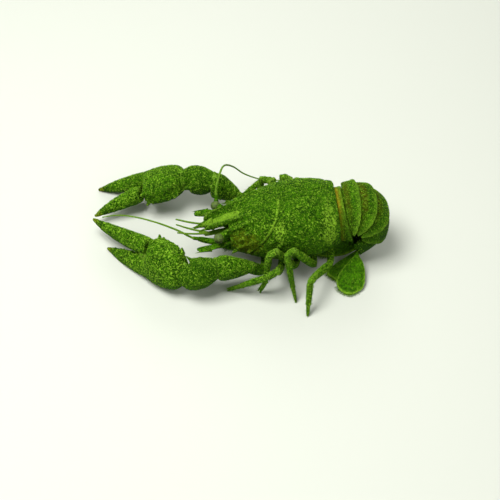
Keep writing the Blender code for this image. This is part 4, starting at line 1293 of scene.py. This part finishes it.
class CRAYFISH_OT_underside(bpy.types.Operator):
    """Make the breast plate, the mouth limbs and the small limbs under the rings"""

    bl_idname = "crayfish.underside"
    bl_label = "Underside"

    def execute(self, context):
        colours = context.scene.crayfish_colours
        finish = limb_finish("shell, underside", colours, light=2.0, silt=0.3, pale=0.8)
        bristle = plain_finish("bristles, underside", colours.olive, colours.pale)
        for node in ("sternum", "maxilliped_left", "maxilliped_right"):
            kind = node.split("_")[0]
            made, spines = shell(f"{node}_shell", [node], CELLS[kind] * MM)
            roughen(made, 0.04 * MM, grit=1.0)
            settle(made, finish, [node], spines)
            if kind == "maxilliped":
                bristles(
                    made, BRISTLES["mouth"], (-0.8, 0, -0.1), (0.5, 1.2), bristle,
                    SEEDS["mouth"], under=0.35,
                )
        for side in (LEFT, RIGHT):
            self.swimmerets(side, finish, bristle)
        return {"FINISHED"}

    def swimmerets(self, side, finish, bristle, hairs_each=26):
        """Four small two-bladed limbs under the rings, folded into the curl, with fringed edges."""
        shapes, roots, ways = [], [], []
        draw = np.random.default_rng(SEEDS["swimmerets"] + side)
        for degrees in SWIMMERETS:
            out = round_curl(degrees)
            for spread, length in BLADES:
                root = CURL + out * 6.4 + Vector((0, side * (4.0 + 0.05 * spread), 0))
                ahead = CURL + Vector((-3.4, side * (3.2 + 0.08 * spread), -3.0 + 0.06 * degrees)) - root
                inward = Matrix.Rotation(math.radians(spread), 3, "Y") @ ahead.normalized()
                tip = root + inward * length
                turn = (tip - root).to_track_quat("Z", "Y").to_matrix().to_4x4()
                size = Matrix.Diagonal((0.75, 0.28, (tip - root).length / 2, 1))
                middle = Matrix.Translation(root.lerp(tip, 0.5) * MM)
                shapes.append(middle @ turn @ size @ Matrix.Scale(MM, 4))
                for k in range(hairs_each):
                    part = 0.45 + 0.55 * k / (hairs_each - 1)
                    swing = Vector((-inward.z, 0, inward.x)) * (1 if k % 2 else -1)
                    roots.append(root.lerp(tip, part) + swing * 0.5 * (1 - part ** 3))
                    ways.append((inward + swing * 0.5 * (1.2 - part)).normalized())
        bpy.ops.mesh.primitive_uv_sphere_add(segments=16, ring_count=12, radius=1)
        blade = take_mesh(newest("blade"))
        name = f"swimmerets_{'left' if side == LEFT else 'right'}"
        made = linked(name, bpy.data.meshes.new("limbs"))
        stamp(made, blade, shapes)
        roughen(made, 0.05 * MM, grit=1.0)
        settle(made, finish, [])
        roots, ways = np.array(roots), np.array(ways)
        sizes = draw.uniform(0.6, 1.1, len(roots))
        spots = unwrapped(roots, CURL, (0, 1, 0))
        hairs(f"{name}_fringe", roots, ways, sizes, 0.03, spots, bristle, rows=2)


class CRAYFISH_OT_stage(bpy.types.Operator):
    """Add the pale floor, soft lights and the camera"""

    bl_idname = "crayfish.stage"
    bl_label = "Stage"

    def execute(self, context):
        settings = context.scene.crayfish_stage
        bpy.ops.mesh.primitive_plane_add(size=FLOOR_WIDTH, location=(0, 0, -0.05 * MM))
        floor = newest("studio_floor")
        finish = Finish("studio floor")
        finish.feed(finish.shader.inputs["Base Color"], FLOOR_COLOUR)
        finish.feed(finish.shader.inputs["Roughness"], 0.85)
        floor.data.materials.append(finish.material)
        world = bpy.data.worlds.new("studio")
        context.scene.world = world
        world.use_nodes = True
        world.node_tree.nodes["Background"].inputs["Color"].default_value = SKY_COLOUR
        world.node_tree.nodes["Background"].inputs["Strength"].default_value = SKY_STRENGTH
        for name, (place, size, power) in LAMPS.items():
            bpy.ops.object.light_add(type="AREA", location=place)
            lamp = newest(name)
            lamp.data.size = size
            lamp.data.energy = power * settings.light
            lamp.rotation_mode = "QUATERNION"
            lamp.rotation_quaternion = (-Vector(place)).to_track_quat("-Z", "Y")
        self.camera(context, settings)
        context.scene.view_settings.view_transform = "Standard"
        return {"FINISHED"}

    def camera(self, context, settings):
        """Looks at the animal from the photograph's angle."""
        az, el, roll = settings.azimuth, settings.elevation, settings.roll
        back = Vector((math.sin(az) * math.cos(el), -math.cos(az) * math.cos(el), math.sin(el)))
        level = Vector((math.cos(az), math.sin(az), 0))
        rise = back.cross(level)
        right = level * math.cos(roll) + rise * math.sin(roll)
        up = rise * math.cos(roll) - level * math.sin(roll)
        place = CAMERA_TARGET * MM + back * settings.distance
        place = place + right * CAMERA_SHIFT[0] * MM - up * CAMERA_SHIFT[1] * MM
        bpy.ops.object.camera_add()
        made = newest("camera")
        made.matrix_world = Matrix.Translation(place) @ Matrix((right, up, back)).transposed().to_4x4()
        made.data.lens = LENS
        made.data.sensor_width = 36
        made.data.clip_start = 0.01
        context.scene.camera = made


class CRAYFISH_PT_tools(bpy.types.Panel):
    """Lists the crayfish's sizes, colours and steps"""

    bl_label = "Crayfish"
    bl_space_type = "VIEW_3D"
    bl_region_type = "UI"
    bl_category = "Crayfish"

    def draw(self, context):
        scene = context.scene
        for group in (scene.crayfish_shell, scene.crayfish_colours, scene.crayfish_stage):
            for name in group.__annotations__:
                self.layout.prop(group, name)
        for step in STEPS:
            self.layout.operator(step.bl_idname)


THORN = thorn_shape()
KNOB = knob_shape()
GRAINS = {
    "knobs": grain_texture("knobs", "VORONOI", 0.9),
    "grit": grain_texture("grit", "CLOUDS", 0.5, noise_depth=3),
    "swells": grain_texture("swells", "CLOUDS", 2.6),
}
GROUPS = {
    "crayfish_shell": CrayfishShell, "crayfish_colours": CrayfishColours, "crayfish_stage": CrayfishStage,
}
STEPS = (
    CRAYFISH_OT_stage, CRAYFISH_OT_shield, CRAYFISH_OT_abdomen, CRAYFISH_OT_tail_fan,
    CRAYFISH_OT_claws, CRAYFISH_OT_legs, CRAYFISH_OT_head, CRAYFISH_OT_underside,
)


def register():
    for made in (*GROUPS.values(), *STEPS, CRAYFISH_PT_tools):
        bpy.utils.register_class(made)
    for name, group in GROUPS.items():
        setattr(bpy.types.Scene, name, PointerProperty(type=group))


def unregister():
    for name in GROUPS:
        delattr(bpy.types.Scene, name)
    for made in reversed((*GROUPS.values(), *STEPS, CRAYFISH_PT_tools)):
        bpy.utils.unregister_class(made)


def main():
    for start in bpy.context.selected_objects:
        start.select_set(False)
    register()
    for step in STEPS:
        group, name = step.bl_idname.split(".")
        getattr(getattr(bpy.ops, group), name)()


if __name__ == "__main__":
    main()
